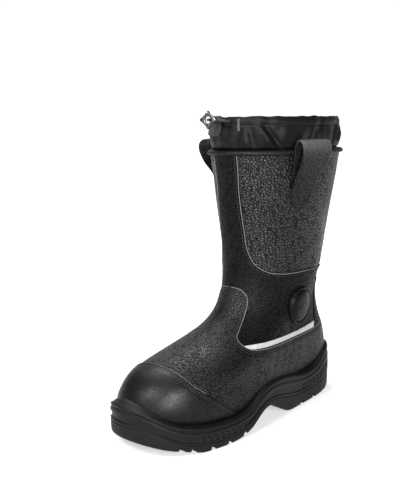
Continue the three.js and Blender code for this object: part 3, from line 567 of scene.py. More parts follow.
def grid_faces(rows: int, cols: int, close_rows: bool = False, close_cols: bool = False,
               flip: bool = False) -> Array:
    """Four-cornered faces of a grid of points.

    Args:
        rows: Rows of points.
        cols: Points in each row.
        close_rows: Whether the last row meets the first.
        close_cols: Whether each row closes on itself.
        flip: Whether the faces turn the other way.

    Returns:
        One row of four corner numbers for each face.
    """
    i = np.arange(rows if close_rows else rows - 1)[:, None]
    j = np.arange(cols if close_cols else cols - 1)[None, :]
    i2, j2 = (i + 1) % rows, (j + 1) % cols
    faces = np.stack(np.broadcast_arrays(i * cols + j, i * cols + j2, i2 * cols + j2, i2 * cols + j), -1)
    faces = faces.reshape(-1, 4)
    return faces[:, ::-1] if flip else faces


def tube_mesh(line: Array, radius: float, sides: int) -> tuple[Array, Array]:
    """A round tube along a line, open at its ends.

    Args:
        line: Points of its middle.
        radius: Half its thickness.
        sides: Corners of its section.

    Returns:
        Its points and its faces.
    """
    way = np.gradient(line, axis=0)
    way /= np.maximum(np.linalg.norm(way, axis=1, keepdims=True), 1e-9)
    side = np.cross(way, [0.13, 0.21, 0.97])
    side /= np.linalg.norm(side, axis=1, keepdims=True)
    up = np.cross(side, way)
    a = np.linspace(0, TURN, sides, endpoint=False)
    ring = side[:, None] * np.cos(a)[:, None] + up[:, None] * np.sin(a)[:, None]
    return line[:, None] + radius * ring, grid_faces(len(line), sides, close_cols=True)


class Graph:
    """A material's node tree, with short calls for the nodes that the finishes use."""

    def __init__(self, name: str) -> None:
        """Starts a material with a principled shader."""
        self.material = bpy.data.materials.new(name)
        self.material.use_nodes = True
        self.tree = self.material.node_tree
        self.shader = self.tree.nodes["Principled BSDF"]
        self.place = self.tree.nodes.new("ShaderNodeTexCoord").outputs["Object"]

    def node(self, kind: str, inputs: dict, **settings: object) -> bpy.types.Node:
        """Adds a node.

        Args:
            kind: The node's type.
            inputs: Values or sockets by input name or number.
            settings: Properties of the node.

        Returns:
            The node.
        """
        made = self.tree.nodes.new(kind)
        for key, value in settings.items():
            setattr(made, key, value)
        for key, value in inputs.items():
            self.put(made.inputs[key], value)
        return made

    def put(self, socket: bpy.types.NodeSocket, value: object) -> None:
        """Sets a socket to a value, or links it to another socket."""
        if isinstance(value, bpy.types.NodeSocket):
            self.tree.links.new(value, socket)
        else:
            socket.default_value = value

    def noise(self, scale: float, detail: float = 2, place: object = None) -> bpy.types.NodeSocket:
        """Noise from 0 to 1, at a number of grains a metre."""
        inputs = {"Vector": place or self.place, "Scale": scale, "Detail": detail}
        return self.node("ShaderNodeTexNoise", inputs).outputs["Fac"]

    def cells(self, scale: float, place: object, low: float, high: float) -> bpy.types.NodeSocket:
        """Pillow-like cells: 0 in the furrows between them and 1 on top."""
        edge = self.node("ShaderNodeTexVoronoi", {"Vector": place, "Scale": scale, "Randomness": 0.85},
                         feature="DISTANCE_TO_EDGE").outputs["Distance"]
        return self.remap(edge, low, high, 0, 1, "SMOOTHSTEP")

    def remap(self, value: object, a: float, b: float, c: float, d: float,
              how: str = "LINEAR") -> bpy.types.NodeSocket:
        """Maps a value from a..b to c..d."""
        inputs = {"Value": value, "From Min": a, "From Max": b, "To Min": c, "To Max": d}
        return self.node("ShaderNodeMapRange", inputs, interpolation_type=how).outputs["Result"]

    def math(self, how: str, a: object, b: object = 0.0) -> bpy.types.NodeSocket:
        """A sum, product or the like of two values."""
        return self.node("ShaderNodeMath", {0: a, 1: b}, operation=how).outputs[0]

    def mix(self, share: object, a: tuple, b: tuple) -> bpy.types.NodeSocket:
        """A colour between two, or between a socket's colour and another."""
        made = self.node("ShaderNodeMix", {"Factor": share}, data_type="RGBA")
        for socket, value in ((made.inputs[6], a), (made.inputs[7], b)):
            self.put(socket, value)
        return made.outputs[2]

    def value(self, name: str) -> bpy.types.NodeSocket:
        """A named number of the mesh."""
        return self.node("ShaderNodeAttribute", {}, attribute_name=name).outputs["Fac"]

    def warped(self, amount: float, scale: float) -> bpy.types.NodeSocket:
        """The object's coordinates, shaken by noise."""
        inputs = {"Vector": self.place, "Scale": scale, "Detail": 1}
        shake = self.node("ShaderNodeTexNoise", inputs).outputs["Color"]
        scaled = self.node("ShaderNodeVectorMath", {0: shake, 1: (amount,) * 3}, operation="MULTIPLY")
        moved = self.node("ShaderNodeVectorMath", {0: self.place, 1: scaled.outputs[0]}, operation="ADD")
        return moved.outputs[0]

    def bump(self, height: object, depth: float, strength: float = 1.0,
             below: object = None) -> bpy.types.NodeSocket:
        """A bump of a depth in millimetres, over another bump if one is given."""
        inputs = {"Height": height, "Distance": depth * MM, "Strength": strength}
        if below is not None:
            inputs["Normal"] = below
        return self.node("ShaderNodeBump", inputs).outputs["Normal"]

    def finish(self, **inputs: object) -> bpy.types.Material:
        """Sets the shader's inputs, named with underscores, and gives the material."""
        for key, value in inputs.items():
            self.put(self.shader.inputs[key.replace("_", " ")], value)
        return self.material


def grey(level: float, warm: float = 0.0) -> tuple[float, float, float, float]:
    """A grey colour, a little warmer or cooler."""
    return level * (1 + warm), level, level * (1 - warm), 1.0


@dataclass(frozen=True)
class Leather:
    """Leather with a pebbled grain.

    cell is the grain's size and depth its height, in millimetres. The last field names a number of the mesh
    where the colour is lightened: a painted highlight.
    """

    name: str
    cell: float
    depth: float
    shade: float = 0.006
    rough: float = 0.36
    gloss: float = 0.3
    painted_highlight: str = ""

    def build(self) -> bpy.types.Material:
        """Makes the material."""
        g = Graph(self.name)
        place = g.warped(self.cell * 0.9 * MM, 260 / self.cell)
        grain = g.cells(1 / (self.cell * MM), place, 0.0, 0.32)
        fine = g.noise(1500, 3)
        patches = g.noise(26, 3)
        depth = g.remap(patches, 0.3, 0.7, 0.6, 1.0)
        height = g.math("MULTIPLY", grain, depth)
        below = g.bump(fine, 0.05)
        # The furrows between the cells take a darker colour than the tops: painted shade in the grain's
        # recesses.
        colour = g.mix(grain, grey(self.shade * 0.4), grey(self.shade * 1.2))
        # Lightens the colour where the mesh's named number is high: a painted highlight, such as on the pull
        # loop's fold.
        if self.painted_highlight:
            colour = g.mix(g.math("MULTIPLY", g.value(self.painted_highlight), 0.8), colour, grey(0.06))
        rough = g.remap(patches, 0.3, 0.7, self.rough - 0.05, self.rough + 0.07)
        rough = g.math("ADD", rough, g.remap(grain, 0, 1, 0.2, 0.0))
        gloss = g.remap(grain, 0.0, 1.0, self.gloss * 0.12, self.gloss)
        return g.finish(Base_Color=colour, Roughness=rough, Normal=g.bump(height, self.depth, 1.0, below),
                        Specular_IOR_Level=gloss)


@dataclass(frozen=True)
class Rubber:
    """Moulded rubber with a fine, slightly dusty face."""

    name: str
    shade: float = 0.003
    rough: float = 0.5

    def build(self) -> bpy.types.Material:
        """Makes the material."""
        g = Graph(self.name)
        dust = g.noise(40, 4)
        dusty = g.remap(dust, 0.35, 0.75, 0, 1)
        colour = g.mix(dusty, grey(self.shade * 0.85), grey(self.shade * 1.35, 0.02))
        rough = g.remap(dust, 0.3, 0.7, self.rough - 0.06, self.rough + 0.08)
        normal = g.bump(g.noise(1800, 2), 0.04, 1.0, g.bump(g.noise(420, 2), 0.06))
        return g.finish(Base_Color=colour, Roughness=rough, Normal=normal, Specular_IOR_Level=0.16)


@dataclass(frozen=True)
class Weave:
    """Woven fabric. Its threads follow the numbers across and down of the mesh, in millimetres."""

    name: str
    shade: float = 0.0018
    thread: float = 0.8
    rough: float = 0.5
    sheen: float = 0.005

    def build(self) -> bpy.types.Material:
        """Makes the material."""
        g = Graph(self.name)
        turns = [g.math("MULTIPLY", g.value(key), TURN / self.thread) for key in ("across", "down")]
        woven = g.math("MULTIPLY", *[g.math("SINE", turn) for turn in turns])
        patches = g.noise(60, 3)
        colour = g.mix(g.remap(patches, 0.3, 0.7, 0, 1), grey(self.shade * 0.75), grey(self.shade * 1.4))
        normal = g.bump(g.remap(woven, -1, 1, 0, 1), 0.07, 0.8, g.bump(g.noise(240, 3), 0.12))
        return g.finish(Base_Color=colour, Roughness=self.rough, Normal=normal, Specular_IOR_Level=0.12,
                        Sheen_Weight=self.sheen, Sheen_Roughness=0.5)


@dataclass(frozen=True)
class Plain:
    """A thread, edge or trim of one colour, with faint mottling."""

    name: str
    shade: float
    rough: float = 0.6
    warm: float = 0.0
    metal: float = 0.0

    def build(self) -> bpy.types.Material:
        """Makes the material."""
        g = Graph(self.name)
        mottle = g.noise(300, 3)
        dark, light = grey(self.shade * 0.8, self.warm), grey(self.shade * 1.2, self.warm)
        colour = g.mix(g.remap(mottle, 0.3, 0.7, 0, 1), dark, light)
        rough = g.remap(mottle, 0.3, 0.7, self.rough - 0.06, self.rough + 0.06)
        return g.finish(Base_Color=colour, Roughness=rough, Metallic=self.metal,
                        Normal=g.bump(g.noise(900, 2), 0.04))


@dataclass(frozen=True)
class Finishes:
    """Every material of the boot, made once."""

    pebbled: bpy.types.Material
    smooth: bpy.types.Material
    vamp: bpy.types.Material
    cap: bpy.types.Material
    counter: bpy.types.Material
    binding: bpy.types.Material
    strap: bpy.types.Material
    guard: bpy.types.Material
    rubber: bpy.types.Material
    tread: bpy.types.Material
    fabric: bpy.types.Material
    patch: bpy.types.Material
    lining: bpy.types.Material
    thread: bpy.types.Material
    edge: bpy.types.Material
    tape: bpy.types.Material
    metal: bpy.types.Material
    cord: bpy.types.Material

    @staticmethod
    def make() -> "Finishes":
        """Makes them all."""
        return Finishes(
            pebbled=Leather("PebbledLeather", 2.7, 0.42, 0.003, 0.35, 0.56).build(),
            smooth=Leather("SmoothLeather", 1.6, 0.16, 0.002, 0.4, 0.2).build(),
            vamp=Leather("VampLeather", 2.0, 0.26, 0.002, 0.34, 0.46).build(),
            cap=Leather("CapLeather", 0.8, 0.03, 0.002, 0.33, 0.42).build(),
            counter=Leather("CounterLeather", 1.7, 0.3, 0.002, 0.42, 0.14).build(),
            binding=Leather("BindingLeather", 1.1, 0.1, 0.004, 0.46, 0.4).build(),
            # The strap's leather takes a painted highlight along its fold.
            strap=Leather("StrapLeather", 1.5, 0.45, 0.003, 0.36, 0.4, "fold").build(),
            guard=Leather("GuardSkin", 0.9, 0.03, 0.002, 0.3, 0.22).build(),
            rubber=Rubber("SideRubber").build(),
            tread=Rubber("TreadRubber", 0.003, 0.6).build(),
            fabric=Weave("CuffFabric").build(),
            patch=Weave("PatchFabric", 0.01, 0.6, 0.6, 0.1).build(),
            lining=Weave("LiningFabric", 0.02, 1.2, 0.95, 0.3).build(),
            thread=Plain("DarkThread", 0.003, 0.5).build(),
            # Pale grey for the cut edges, partly the raw edge's colour and partly a painted highlight; also
            # the cuff's tack.
            edge=Plain("CutEdgeAndHighlight", 0.09, 0.7, 0.03).build(),
            tape=Plain("ReflectiveTape", 0.3, 0.5).build(),
            metal=Plain("Nickel", 0.07, 0.26, 0.04, 1.0).build(),
            cord=Plain("CordTextile", 0.01, 0.8).build(),
        )


def settle(obj: bpy.types.Object, slot: str, *nodes: str) -> bpy.types.Object:
    """Ties a piece to the frame.

    Args:
        obj: The piece.
        slot: The record's material slot; not used.
        nodes: The solids that it stands for.

    Returns:
        The piece.
    """
    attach(obj, "root")
    if nodes:
        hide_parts(*nodes)
    LOG.info("%s: %d faces", obj.name, len(obj.data.polygons) if obj.type == "MESH" else 0)
    return obj


@dataclass
class View:
    """The camera, as the photograph saw the boot."""

    azimuth: float = 45.34
    elevation: float = 9.73
    distance: float = 720.96
    lens: float = 53.17
    roll: float = -0.659
    target: tuple[float, float, float] = (18.17, -69.10, 189.86)

    def build(self) -> bpy.types.Object:
        """Makes the camera."""
        a, e, r = deg(self.azimuth), deg(self.elevation), deg(self.roll)
        back = Vector((math.sin(a) * math.cos(e), -math.cos(a) * math.cos(e), math.sin(e)))
        right = Vector((math.cos(a), math.sin(a), 0))
        up = back.cross(right)
        rolled = right * math.cos(r) + up * math.sin(r)
        data = bpy.data.cameras.new("Camera")
        data.lens, data.clip_end = self.lens, 30
        camera = bpy.data.objects.new("Camera", data)
        turned = Matrix((rolled, back.cross(rolled), back)).transposed().to_4x4()
        camera.matrix_world = Matrix.Translation((Vector(self.target) + back * self.distance) * MM) @ turned
        bpy.context.scene.collection.objects.link(camera)
        bpy.context.scene.camera = camera
        return camera


@dataclass(frozen=True)
class Softbox:
    """An area light: where it stands and what it points at, in metres."""

    place: tuple[float, float, float]
    aim: tuple[float, float, float]
    size: tuple[float, float]
    power: float


@dataclass
class Studio:
    """A pale floor, soft lights and a pale backdrop.

    backdrop is the way from the boot to the backdrop behind it, horizon is how bright the sky's foot is
    elsewhere, and floor_half is half the floor's width in metres.
    """

    lights: tuple[Softbox, ...] = (
        Softbox((1.55, -1.15, 0.85), (0, 0, 0.16), (0.5, 0.6), 70),
        Softbox((0.12, -1.41, 1.4), (0, -0.05, 0.12), (0.45, 0.45), 40),
        Softbox((-0.92, 0.57, 1.6), (0, -0.05, 0.12), (0.6, 0.6), 22),
    )
    daylight: float = 1.1
    backdrop: tuple[float, float, float] = (-0.71, 0.7, 0.05)
    horizon: float = 0.5
    floor_half: float = 30

    def build(self) -> None:
        """Makes the floor, the sky and the lights."""
        self.sky()
        bpy.context.scene.view_settings.view_transform = "Standard"
        sun = bpy.data.lights.new("Overhead", "SUN")
        sun.energy, sun.angle = self.daylight, deg(50)
        bpy.context.scene.collection.objects.link(bpy.data.objects.new("Overhead", sun))
        for number, light in enumerate(self.lights):
            self.lamp(f"Softbox{number}", light)
        self.floor()

    def sky(self) -> None:
        """Makes the sky: pale behind the boot, dim above."""
        world = bpy.data.worlds.new("World")
        world.use_nodes = True
        tree = world.node_tree
        way = tree.nodes.new("ShaderNodeTexCoord").outputs["Generated"]
        split = tree.nodes.new("ShaderNodeSeparateXYZ")
        tree.links.new(way, split.inputs[0])
        behind = tree.nodes.new("ShaderNodeVectorMath")
        behind.operation = "DOT_PRODUCT"
        behind.inputs[1].default_value = self.backdrop
        tree.links.new(way, behind.inputs[0])
        level = self.ramp(tree, behind.outputs["Value"], (0.78, 0.94, self.horizon, 1.06))
        height = self.ramp(tree, split.outputs["Z"], (0.2, 0.45, 1.0, 0.12))
        both = tree.nodes.new("ShaderNodeMath")
        both.operation = "MULTIPLY"
        tree.links.new(level, both.inputs[0])
        tree.links.new(height, both.inputs[1])
        tree.links.new(both.outputs[0], tree.nodes["Background"].inputs["Strength"])
        tree.nodes["Background"].inputs["Color"].default_value = (1, 1, 1, 1)
        bpy.context.scene.world = world

    @staticmethod
    def lamp(name: str, light: Softbox) -> None:
        """Hangs one softbox."""
        data = bpy.data.lights.new(name, "AREA")
        data.shape, data.energy = "RECTANGLE", light.power
        data.size, data.size_y = light.size
        lamp = bpy.data.objects.new(data.name, data)
        lamp.location = light.place
        away = Vector(light.place) - Vector(light.aim)
        lamp.rotation_mode = "QUATERNION"
        lamp.rotation_quaternion = away.to_track_quat("Z", "Y")
        bpy.context.scene.collection.objects.link(lamp)

    def floor(self) -> None:
        """Lays the floor, which glows a little away from the boot."""
        paper = Graph("Paper")
        tone = paper.remap(paper.noise(2.0, 2), 0, 1, 0.38, 0.4)
        colour = paper.node("ShaderNodeCombineColor", {0: tone, 1: tone, 2: tone}).outputs[0]
        away = paper.node("ShaderNodeVectorMath", {0: paper.place}, operation="LENGTH").outputs["Value"]
        glow = paper.remap(away, 0.16, 0.7, 0.48, 1.05, "SMOOTHSTEP")
        square = np.array([[-1, -1, 0], [1, -1, 0], [1, 1, 0], [-1, 1, 0]]) * self.floor_half / MM - OFFSET
        finish = paper.finish(Base_Color=colour, Roughness=0.9, Specular_IOR_Level=0.1,
                              Emission_Strength=glow, Emission_Color=(1.0, 1.0, 1.0, 1.0))
        make_mesh("Floor", square, [[0, 1, 2, 3]], finish)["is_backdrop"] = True

    @staticmethod
    def ramp(tree: bpy.types.NodeTree, value: bpy.types.NodeSocket,
             ends: tuple[float, ...]) -> bpy.types.NodeSocket:
        """A soft step.

        Args:
            tree: The node tree that it joins.
            value: What it steps on.
            ends: The value's low and high end, and the results there.

        Returns:
            The stepped value.
        """
        made = tree.nodes.new("ShaderNodeMapRange")
        made.interpolation_type = "SMOOTHSTEP"
        tree.links.new(value, made.inputs[0])
        for socket, end in zip(made.inputs[1:5], ends):
            socket.default_value = end
        return made.outputs[0]


@dataclass
class LeatherPiece:
    """One piece of leather laid over the form, thinning to nothing at its cut edge.

    rows and turns are the range and count of t and of the angle in degrees, depth says how far inside its
    outline a point lies, seams are the stitch rows' places inside it and even_at is the t at which its
    columns stand evenly.
    """

    name: str
    node: str
    slot: str
    thickness: float
    rows: tuple[float, float, int]
    turns: tuple[float, float, int]
    depth: Optional[Callable[[Array], Array]] = None
    seams: tuple[float, ...] = ()
    even_at: float = 0.2

    def build(self, material: bpy.types.Material) -> bpy.types.Object:
        """Makes the piece.

        Args:
            material: Its finish.

        Returns:
            The piece.
        """
        t = np.linspace(self.rows[0], self.rows[1], self.rows[2])[:, None]
        whole = self.turns[1] - self.turns[0] > 359.9
        low, high, count = self.turns
        a = FORM.even_angles(self.even_at, count + (1 if whole else 0), deg(low), deg(high))
        a = (a[:-1] if whole else a)[None, :]
        height = np.full((t.size, a.size), self.thickness)
        faces = grid_faces(t.size, a.size, close_cols=whole)
        if self.depth is not None:
            skin = FORM.skin(t, a)
            d = along_skin(skin, self.depth(skin))
            rise = np.clip((d + 0.5) / 1.2, 0, 1)
            height = -0.4 + (self.thickness + 0.4) * (1 - (1 - rise) ** 2)
            for row in self.seams:
                height -= 0.55 * bell(d - row, 0.9)
            faces = faces[(d.ravel()[faces] > -1.6).any(axis=1)]
        points = FORM.off(t, a, height)
        return settle(make_mesh(self.name, points, faces, material), self.slot, self.node)


@dataclass
class Stitching:
    """Rows of stitches: raised threads of one length at one pitch."""

    length: float = 2.3
    pitch: float = 3.3
    radius: float = 0.36
    pieces: list[tuple[Array, Array]] = field(default_factory=list)

    def row(self, line: Array) -> None:
        """Adds a row along a line in space."""
        if len(line) > 3:
            self.pieces.append(evenly(line, self.pitch))

    def build(self, name: str, slot: str, material: bpy.types.Material) -> bpy.types.Object:
        """Makes all the rows as one piece.

        Args:
            name: The piece's name.
            slot: The record's material slot; passed on but not used.
            material: The thread's finish.

        Returns:
            The piece.
        """
        middle = np.vstack([p for p, _ in self.pieces])
        way = np.vstack([w for _, w in self.pieces])
        side = np.cross(way, [0.05, 0.03, 1.0])
        side /= np.maximum(np.linalg.norm(side, axis=1, keepdims=True), 1e-6)
        up = np.cross(side, way)
        stations = np.array([(-0.5, 0.35), (-0.3, 0.95), (0.0, 1.1), (0.3, 0.95), (0.5, 0.35)])
        a = np.linspace(0, TURN, 6, endpoint=False)
        round_ = side[:, None] * np.cos(a)[:, None] + up[:, None] * np.sin(a)[:, None]
        points = (middle[:, None, None] + way[:, None, None] * (stations[:, 0] * self.length)[:, None, None]
                  + round_[:, None] * (stations[:, 1] * self.radius)[:, None, None])
        one = grid_faces(len(stations), 6, close_cols=True)
        start = np.arange(len(middle))[:, None, None] * (len(stations) * 6)
        return settle(make_mesh(name, points, (one[None] + start).reshape(-1, 4), material), slot)


@dataclass
class Upper:
    """All the leather of the boot, with seams, stitches and cut edges drawn partly as a painted highlight."""

    leg: float = 1.4
    vamp: float = 2.6
    cap: float = 3.6
    counter: float = 2.2
    under: float = 4.0
    bright_above: float = 56

    def leg_depth(self, p: Array) -> Array:
        """How far points lie inside the leg panel, which runs on under the vamp and the counter."""
        return np.minimum(-PANEL.depth(p), self.under - np.maximum(VAMP.depth(p), COUNTER.depth(p)))

    def vamp_depth(self, p: Array) -> Array:
        """How far points lie inside the vamp, which runs on under the cap."""
        return np.minimum(VAMP.depth(p), self.under - CAP.depth(p))

    def counter_depth(self, p: Array) -> Array:
        """How far points lie inside the counter, which runs on under the vamp."""
        return np.minimum(COUNTER.depth(p), self.under - VAMP.depth(p))

    def build(self, looks: Finishes) -> None:
        """Makes the pieces, from the base leather out."""
        LeatherPiece("Shaft", "upper", "grained_leather", 0.0, (0.3, 0.996, 150), (0, 360, 250),
                     even_at=0.8).build(looks.pebbled)
        LeatherPiece("LegPanel", "leg_panel", "smooth_leather", self.leg, (0.17, 0.996, 235), (0, 360, 340),
                     self.leg_depth, (2.6,), 0.7).build(looks.smooth)
        LeatherPiece("Counter", "heel_counter", "counter_leather", self.counter, (0.004, 0.6, 140),
                     (110, 250, 110), self.counter_depth, (2.6,), 0.3).build(looks.counter)
        LeatherPiece("Vamp", "vamp", "vamp_leather", self.vamp, (0.004, 0.62, 190), (0, 360, 500),
                     self.vamp_depth, (2.6, 5.0)).build(looks.vamp)
        LeatherPiece("ToeCap", "toe_cap", "cap_leather", self.cap, (0.004, 0.46, 140), (-86, 86, 210),
                     CAP.depth, (2.4, 4.6)).build(looks.cap)
        self.sew(looks)

    def sew(self, looks: Finishes) -> None:
        """Adds the stitch rows and the pale cut edges, partly raw edge colour and partly painted highlight.
        """
        stitches = Stitching()
        edges = []
        for side in (1, -1):
            for offset in (2.4, 4.6):
                stitches.row(CAP.beside(offset, side, self.cap - 0.15))
            for offset in (2.6, 5.0):
                stitches.row(self.clear(VAMP.beside(offset, side, self.vamp - 0.15), CAP))
            stitches.row(self.clear(PANEL.beside(-2.6, side, self.leg - 0.15), COUNTER))
            stitches.row(self.clear(COUNTER.beside(2.6, side, self.counter - 0.1), VAMP))
            # The cap's pale edge is kept only above bright_above: a painted highlight on its upper, lit part.
            edge = CAP.beside(0.2, side, self.cap - 0.5)
            edges += [(edge[edge[:, 2] > self.bright_above], 0.3)]
            edges += [(self.clear(VAMP.beside(0.2, side, self.vamp - 0.35), CAP), 0.42),
                      (PANEL.beside(-0.2, side, self.leg - 0.2), 0.42)]
        stitches.build("LeatherStitches", "grained_leather", looks.thread)
        points, faces, count = [], [], 0
        for line, radius in edges:
            even, _ = evenly(line, 1.6)
            p, f = tube_mesh(even, radius, 6)
            points.append(p.reshape(-1, 3))
            faces.append(f + count)
            count += len(points[-1])
        settle(make_mesh("CutEdgesAndHighlights", np.vstack(points), np.vstack(faces), looks.edge), "smooth_leather")

    @staticmethod
    def clear(line: Array, other: Seam) -> Array:
        """The part of a line that lies outside another seam's region."""
        return line[other.depth(line) < -0.5]


@dataclass
class Binding:
    """The rolled edge round the top of the leather."""

    half_width: float = 3.9
    low: float = -3.2
    high: float = 1.75
    middle: float = -0.5

    def build(self, looks: Finishes) -> bpy.types.Object:
        """Makes the roll."""
        a = FORM.even_angles(1.0, 421)[:-1][None, :]
        s = np.linspace(0, TURN, 22, endpoint=False)[:, None]
        power = 0.82
        bulge = 1 + 0.03 * np.sin(9 * a) + 0.02 * np.sin(23 * a + 1)
        across = squarish(np.cos(s), power) * self.half_width * bulge
        up = squarish(np.sin(s), power) * (self.high - self.low) / 2
        points = FORM.collar(a, self.middle + across, np.zeros_like(across))
        points[..., 2] += (self.high + self.low) / 2 + up + 0.25 * np.sin(3 * a + 0.6)
        faces = grid_faces(s.size, a.size, True, True)
        roll = make_mesh("CollarBinding", points, faces, looks.binding)
        return settle(roll, "binding_leather", "collar_binding")


@dataclass(frozen=True)
class Fold:
    """One fold of the cuff: where it stands at the foot and how far it leans by the top, in degrees."""

    at: float
    lean: float
    width: float
    depth: float
    low: float = 0.0
    high: float = 1.0


@dataclass
class Cuff:
    """The gathered fabric cuff, with its casing, side seam and patch."""

    height: float = 35.5
    tuck: float = 28
    wall: float = 1.6
    bulge: float = 4.7
    section: tuple[tuple[float, float, float], ...] = (
        (-1, -0.69, 0), (-0.3, -1.03, 0), (0.05, -1.03, 0), (0.12, -0.45, 0.4), (0.3, -0.12, 0.9),
        (0.5, -0.1, 1), (0.7, -0.28, 0.8), (0.88, -0.5, 0.5), (1, -0.8, 0.3),
    )
    folds: tuple[Fold, ...] = (
        Fold(56, -22, 3.6, -4.4, 0.0, 0.85), Fold(47, -12, 4, 2.2), Fold(70, 16, 4.4, 3.0, 0.05, 1.0),
        Fold(83, 12, 3.6, -3.2, 0.2, 1.0), Fold(98, -12, 4, 2.2, 0.0, 0.9),
        Fold(106, 16, 3.4, -3.0, 0.1, 0.9),
        Fold(126, 14, 4, -3.6, 0.15, 1.1), Fold(116, 20, 3.6, 2.0, 0.2, 1.0), Fold(140, 8, 5, 2.2),
        Fold(32, -8, 3.4, -2.6, 0.05, 0.8), Fold(23, 6, 4, 1.6, 0.0, 0.9),
        Fold(12, 8, 4, -2.4, 0.0, 0.7), Fold(-40, -8, 5, -2.4), Fold(-62, 10, 6, 2.4),
        Fold(-84, -14, 7, -2.0), Fold(-108, 6, 9, 1.4), Fold(-130, 12, 7, -1.8), Fold(-152, -8, 8, 1.3),
        Fold(162, -10, 8, -1.7), Fold(180, 9, 8, 1.2), Fold(-172, 12, 6, -1.1),
    )

    def gather(self, angle: Array, up: Array) -> Array:
        """How far the folds push the fabric out.

        Args:
            angle: Radians round the collar.
            up: Share of the cuff's height.

        Returns:
            Millimetres outwards.
        """
        turned = np.degrees(angle)
        total = 0.45 * np.sin(17 * angle + 5 * up) + 0.3 * np.sin(31 * angle - 7 * up)
        for fold in self.folds:
            away = np.mod(turned - fold.at - fold.lean * up + 180, 360) - 180
            starts = smooth(up, fold.low - 0.12, fold.low + 0.12)
            ends = smooth(up, fold.high - 0.12, fold.high + 0.12)
            total = total + fold.depth * bell(away, fold.width) * (starts * (1 - ends))
        return total

    def out(self, angle: Array, up: Array) -> Array:
        """The cuff's outer face, in millimetres out from the base leather."""
        table = np.array(self.section)
        base = np.interp(up, table[:, 0], table[:, 1]) * self.bulge
        share = np.interp(up, table[:, 0], table[:, 2])
        away = (np.mod(np.degrees(angle) + 15 + 180, 360) - 180) / 36.5
        casing = 0.5 * bell(up - 0.9, 0.09) - 0.7 * bell(up - 0.76, 0.025)
        return base + share * (self.gather(angle, up) + 1.6 * bell(away, 1.0)) + casing * smooth(up, 0.2, 0.5)

    def place(self, angle: Array, up: Array, out: Array) -> Array:
        """Points off the cuff's face, at an angle and a share of its height."""
        angle, up = np.broadcast_arrays(np.asarray(angle, float), np.asarray(up, float))
        p = FORM.collar(angle, self.out(angle, up) + out, np.where(up < 0, up * self.tuck, up * self.height))
        p[..., 2] += np.clip(self.gather(angle, up), -3.5, 1.5) * 0.55 * smooth(up, 0.7, 1.0)
        return p

    def build(self, looks: Finishes) -> None:
        """Makes the fabric and what is sewn to it."""
        a = FORM.even_angles(1.0, 541)[:-1][None, :]
        rise = np.linspace(0.0, 0.97, 46)
        roll = np.linspace(0, math.pi, 9)[1:-1]
        fall = np.linspace(0.95, -0.3, 22)
        rows = [self.place(a, u, 0.0) for u in rise]
        for r in roll:
            rows.append(self.place(a, 0.97 + 0.03 * math.sin(r), -self.wall / 2 * (1 - math.cos(r))))
        rows += [self.place(a, u, -self.wall) for u in fall]
        points = np.stack(rows).reshape(len(rows), -1, 3)
        down = np.r_[rise, np.full(len(roll), 1.0), 2 - fall] * self.height
        values = {"down": np.broadcast_to(down[:, None], points.shape[:2]),
                  "across": np.broadcast_to(a * 72, points.shape[:2])}
        faces = grid_faces(*points.shape[:2], close_cols=True)
        cloth = make_mesh("SnowCuff", points, faces, looks.fabric, values)
        settle(cloth, "cuff_fabric", "snow_cuff")
        self.sew(looks)
        self.patch(looks)

    def sew(self, looks: Finishes) -> None:
        """Adds the casing's stitches, the side seam and the tack beside the cord's exit."""
        stitches = Stitching(1.8, 2.7, 0.24)
        ring = np.linspace(0, TURN, 900)
        stitches.row(self.place(ring, 0.76, 0.15))
        for seam in (24.0, 204.0):
            line = self.place(deg(seam), np.linspace(0.08, 0.95, 80), 0.15)
            stitches.row(line)
        stitches.build("CuffStitches", "cuff_fabric", looks.thread)
        tack = Stitching(2.6, 0.9, 0.3)
        for row in np.linspace(0.62, 0.93, 13):
            tack.pieces.append(evenly(self.place(np.radians(np.linspace(15.2, 17.6, 12)), row, 0.3), 2.4))
        tack.build("CuffTack", "cuff_fabric", looks.edge)

    def patch(self, looks: Finishes) -> None:
        """Adds the stiff patch behind the cord lock."""
        width, height, thick = 30.0, 20.0, 1.5
        radius, middle = 71.5, 0.76 * self.height
        s = np.linspace(-1, 1, 41)[:, None]
        v = np.linspace(-1, 1, 29)[None, :]
        corner = 1 - 0.25 * smooth(np.abs(s), 0.82, 1.0)
        angle = deg(-15) + s * width / 2 / radius + 0 * v
        up = (middle + v * corner * height / 2) / self.height
        inner = max(float(self.out(np.array([deg(-15)]), np.array([u]))[0]) for u in (0.5, 0.7, 0.88))
        edge = np.maximum(np.abs(s) ** 6, np.abs(v) ** 6)
        cloth = self.out(angle, up)
        out = np.maximum(inner * 0.35 + 0.65 * cloth, cloth) + 0.5 + thick * (1 - edge ** 2)
        points = FORM.collar(angle, out, up * self.height)
        values = {"across": angle * 72, "down": up * self.height}
        piece = make_mesh("CordPatch", points, grid_faces(41, 29, flip=True), looks.patch, values)
        settle(piece, "patch_fabric", "cord_patch")
        stitches = Stitching(1.7, 2.4, 0.22)
        loop = np.array([(-0.86, -0.8), (0.86, -0.8), (0.9, 0.8), (-0.86, 0.8), (-0.86, -0.8)])
        line = np.vstack([np.linspace(p, q, 40) for p, q in zip(loop[:-1], loop[1:])])
        ang = deg(-15) + line[:, 0] * width / 2 / radius
        ups = (middle + line[:, 1] * height / 2) / self.height
        cloth = self.out(ang, ups)
        outs = np.maximum(inner * 0.35 + 0.65 * cloth, cloth) + 0.5 + thick
        stitches.row(FORM.collar(ang, outs, ups * self.height))
        stitches.build("PatchStitches", "patch_fabric", looks.thread)


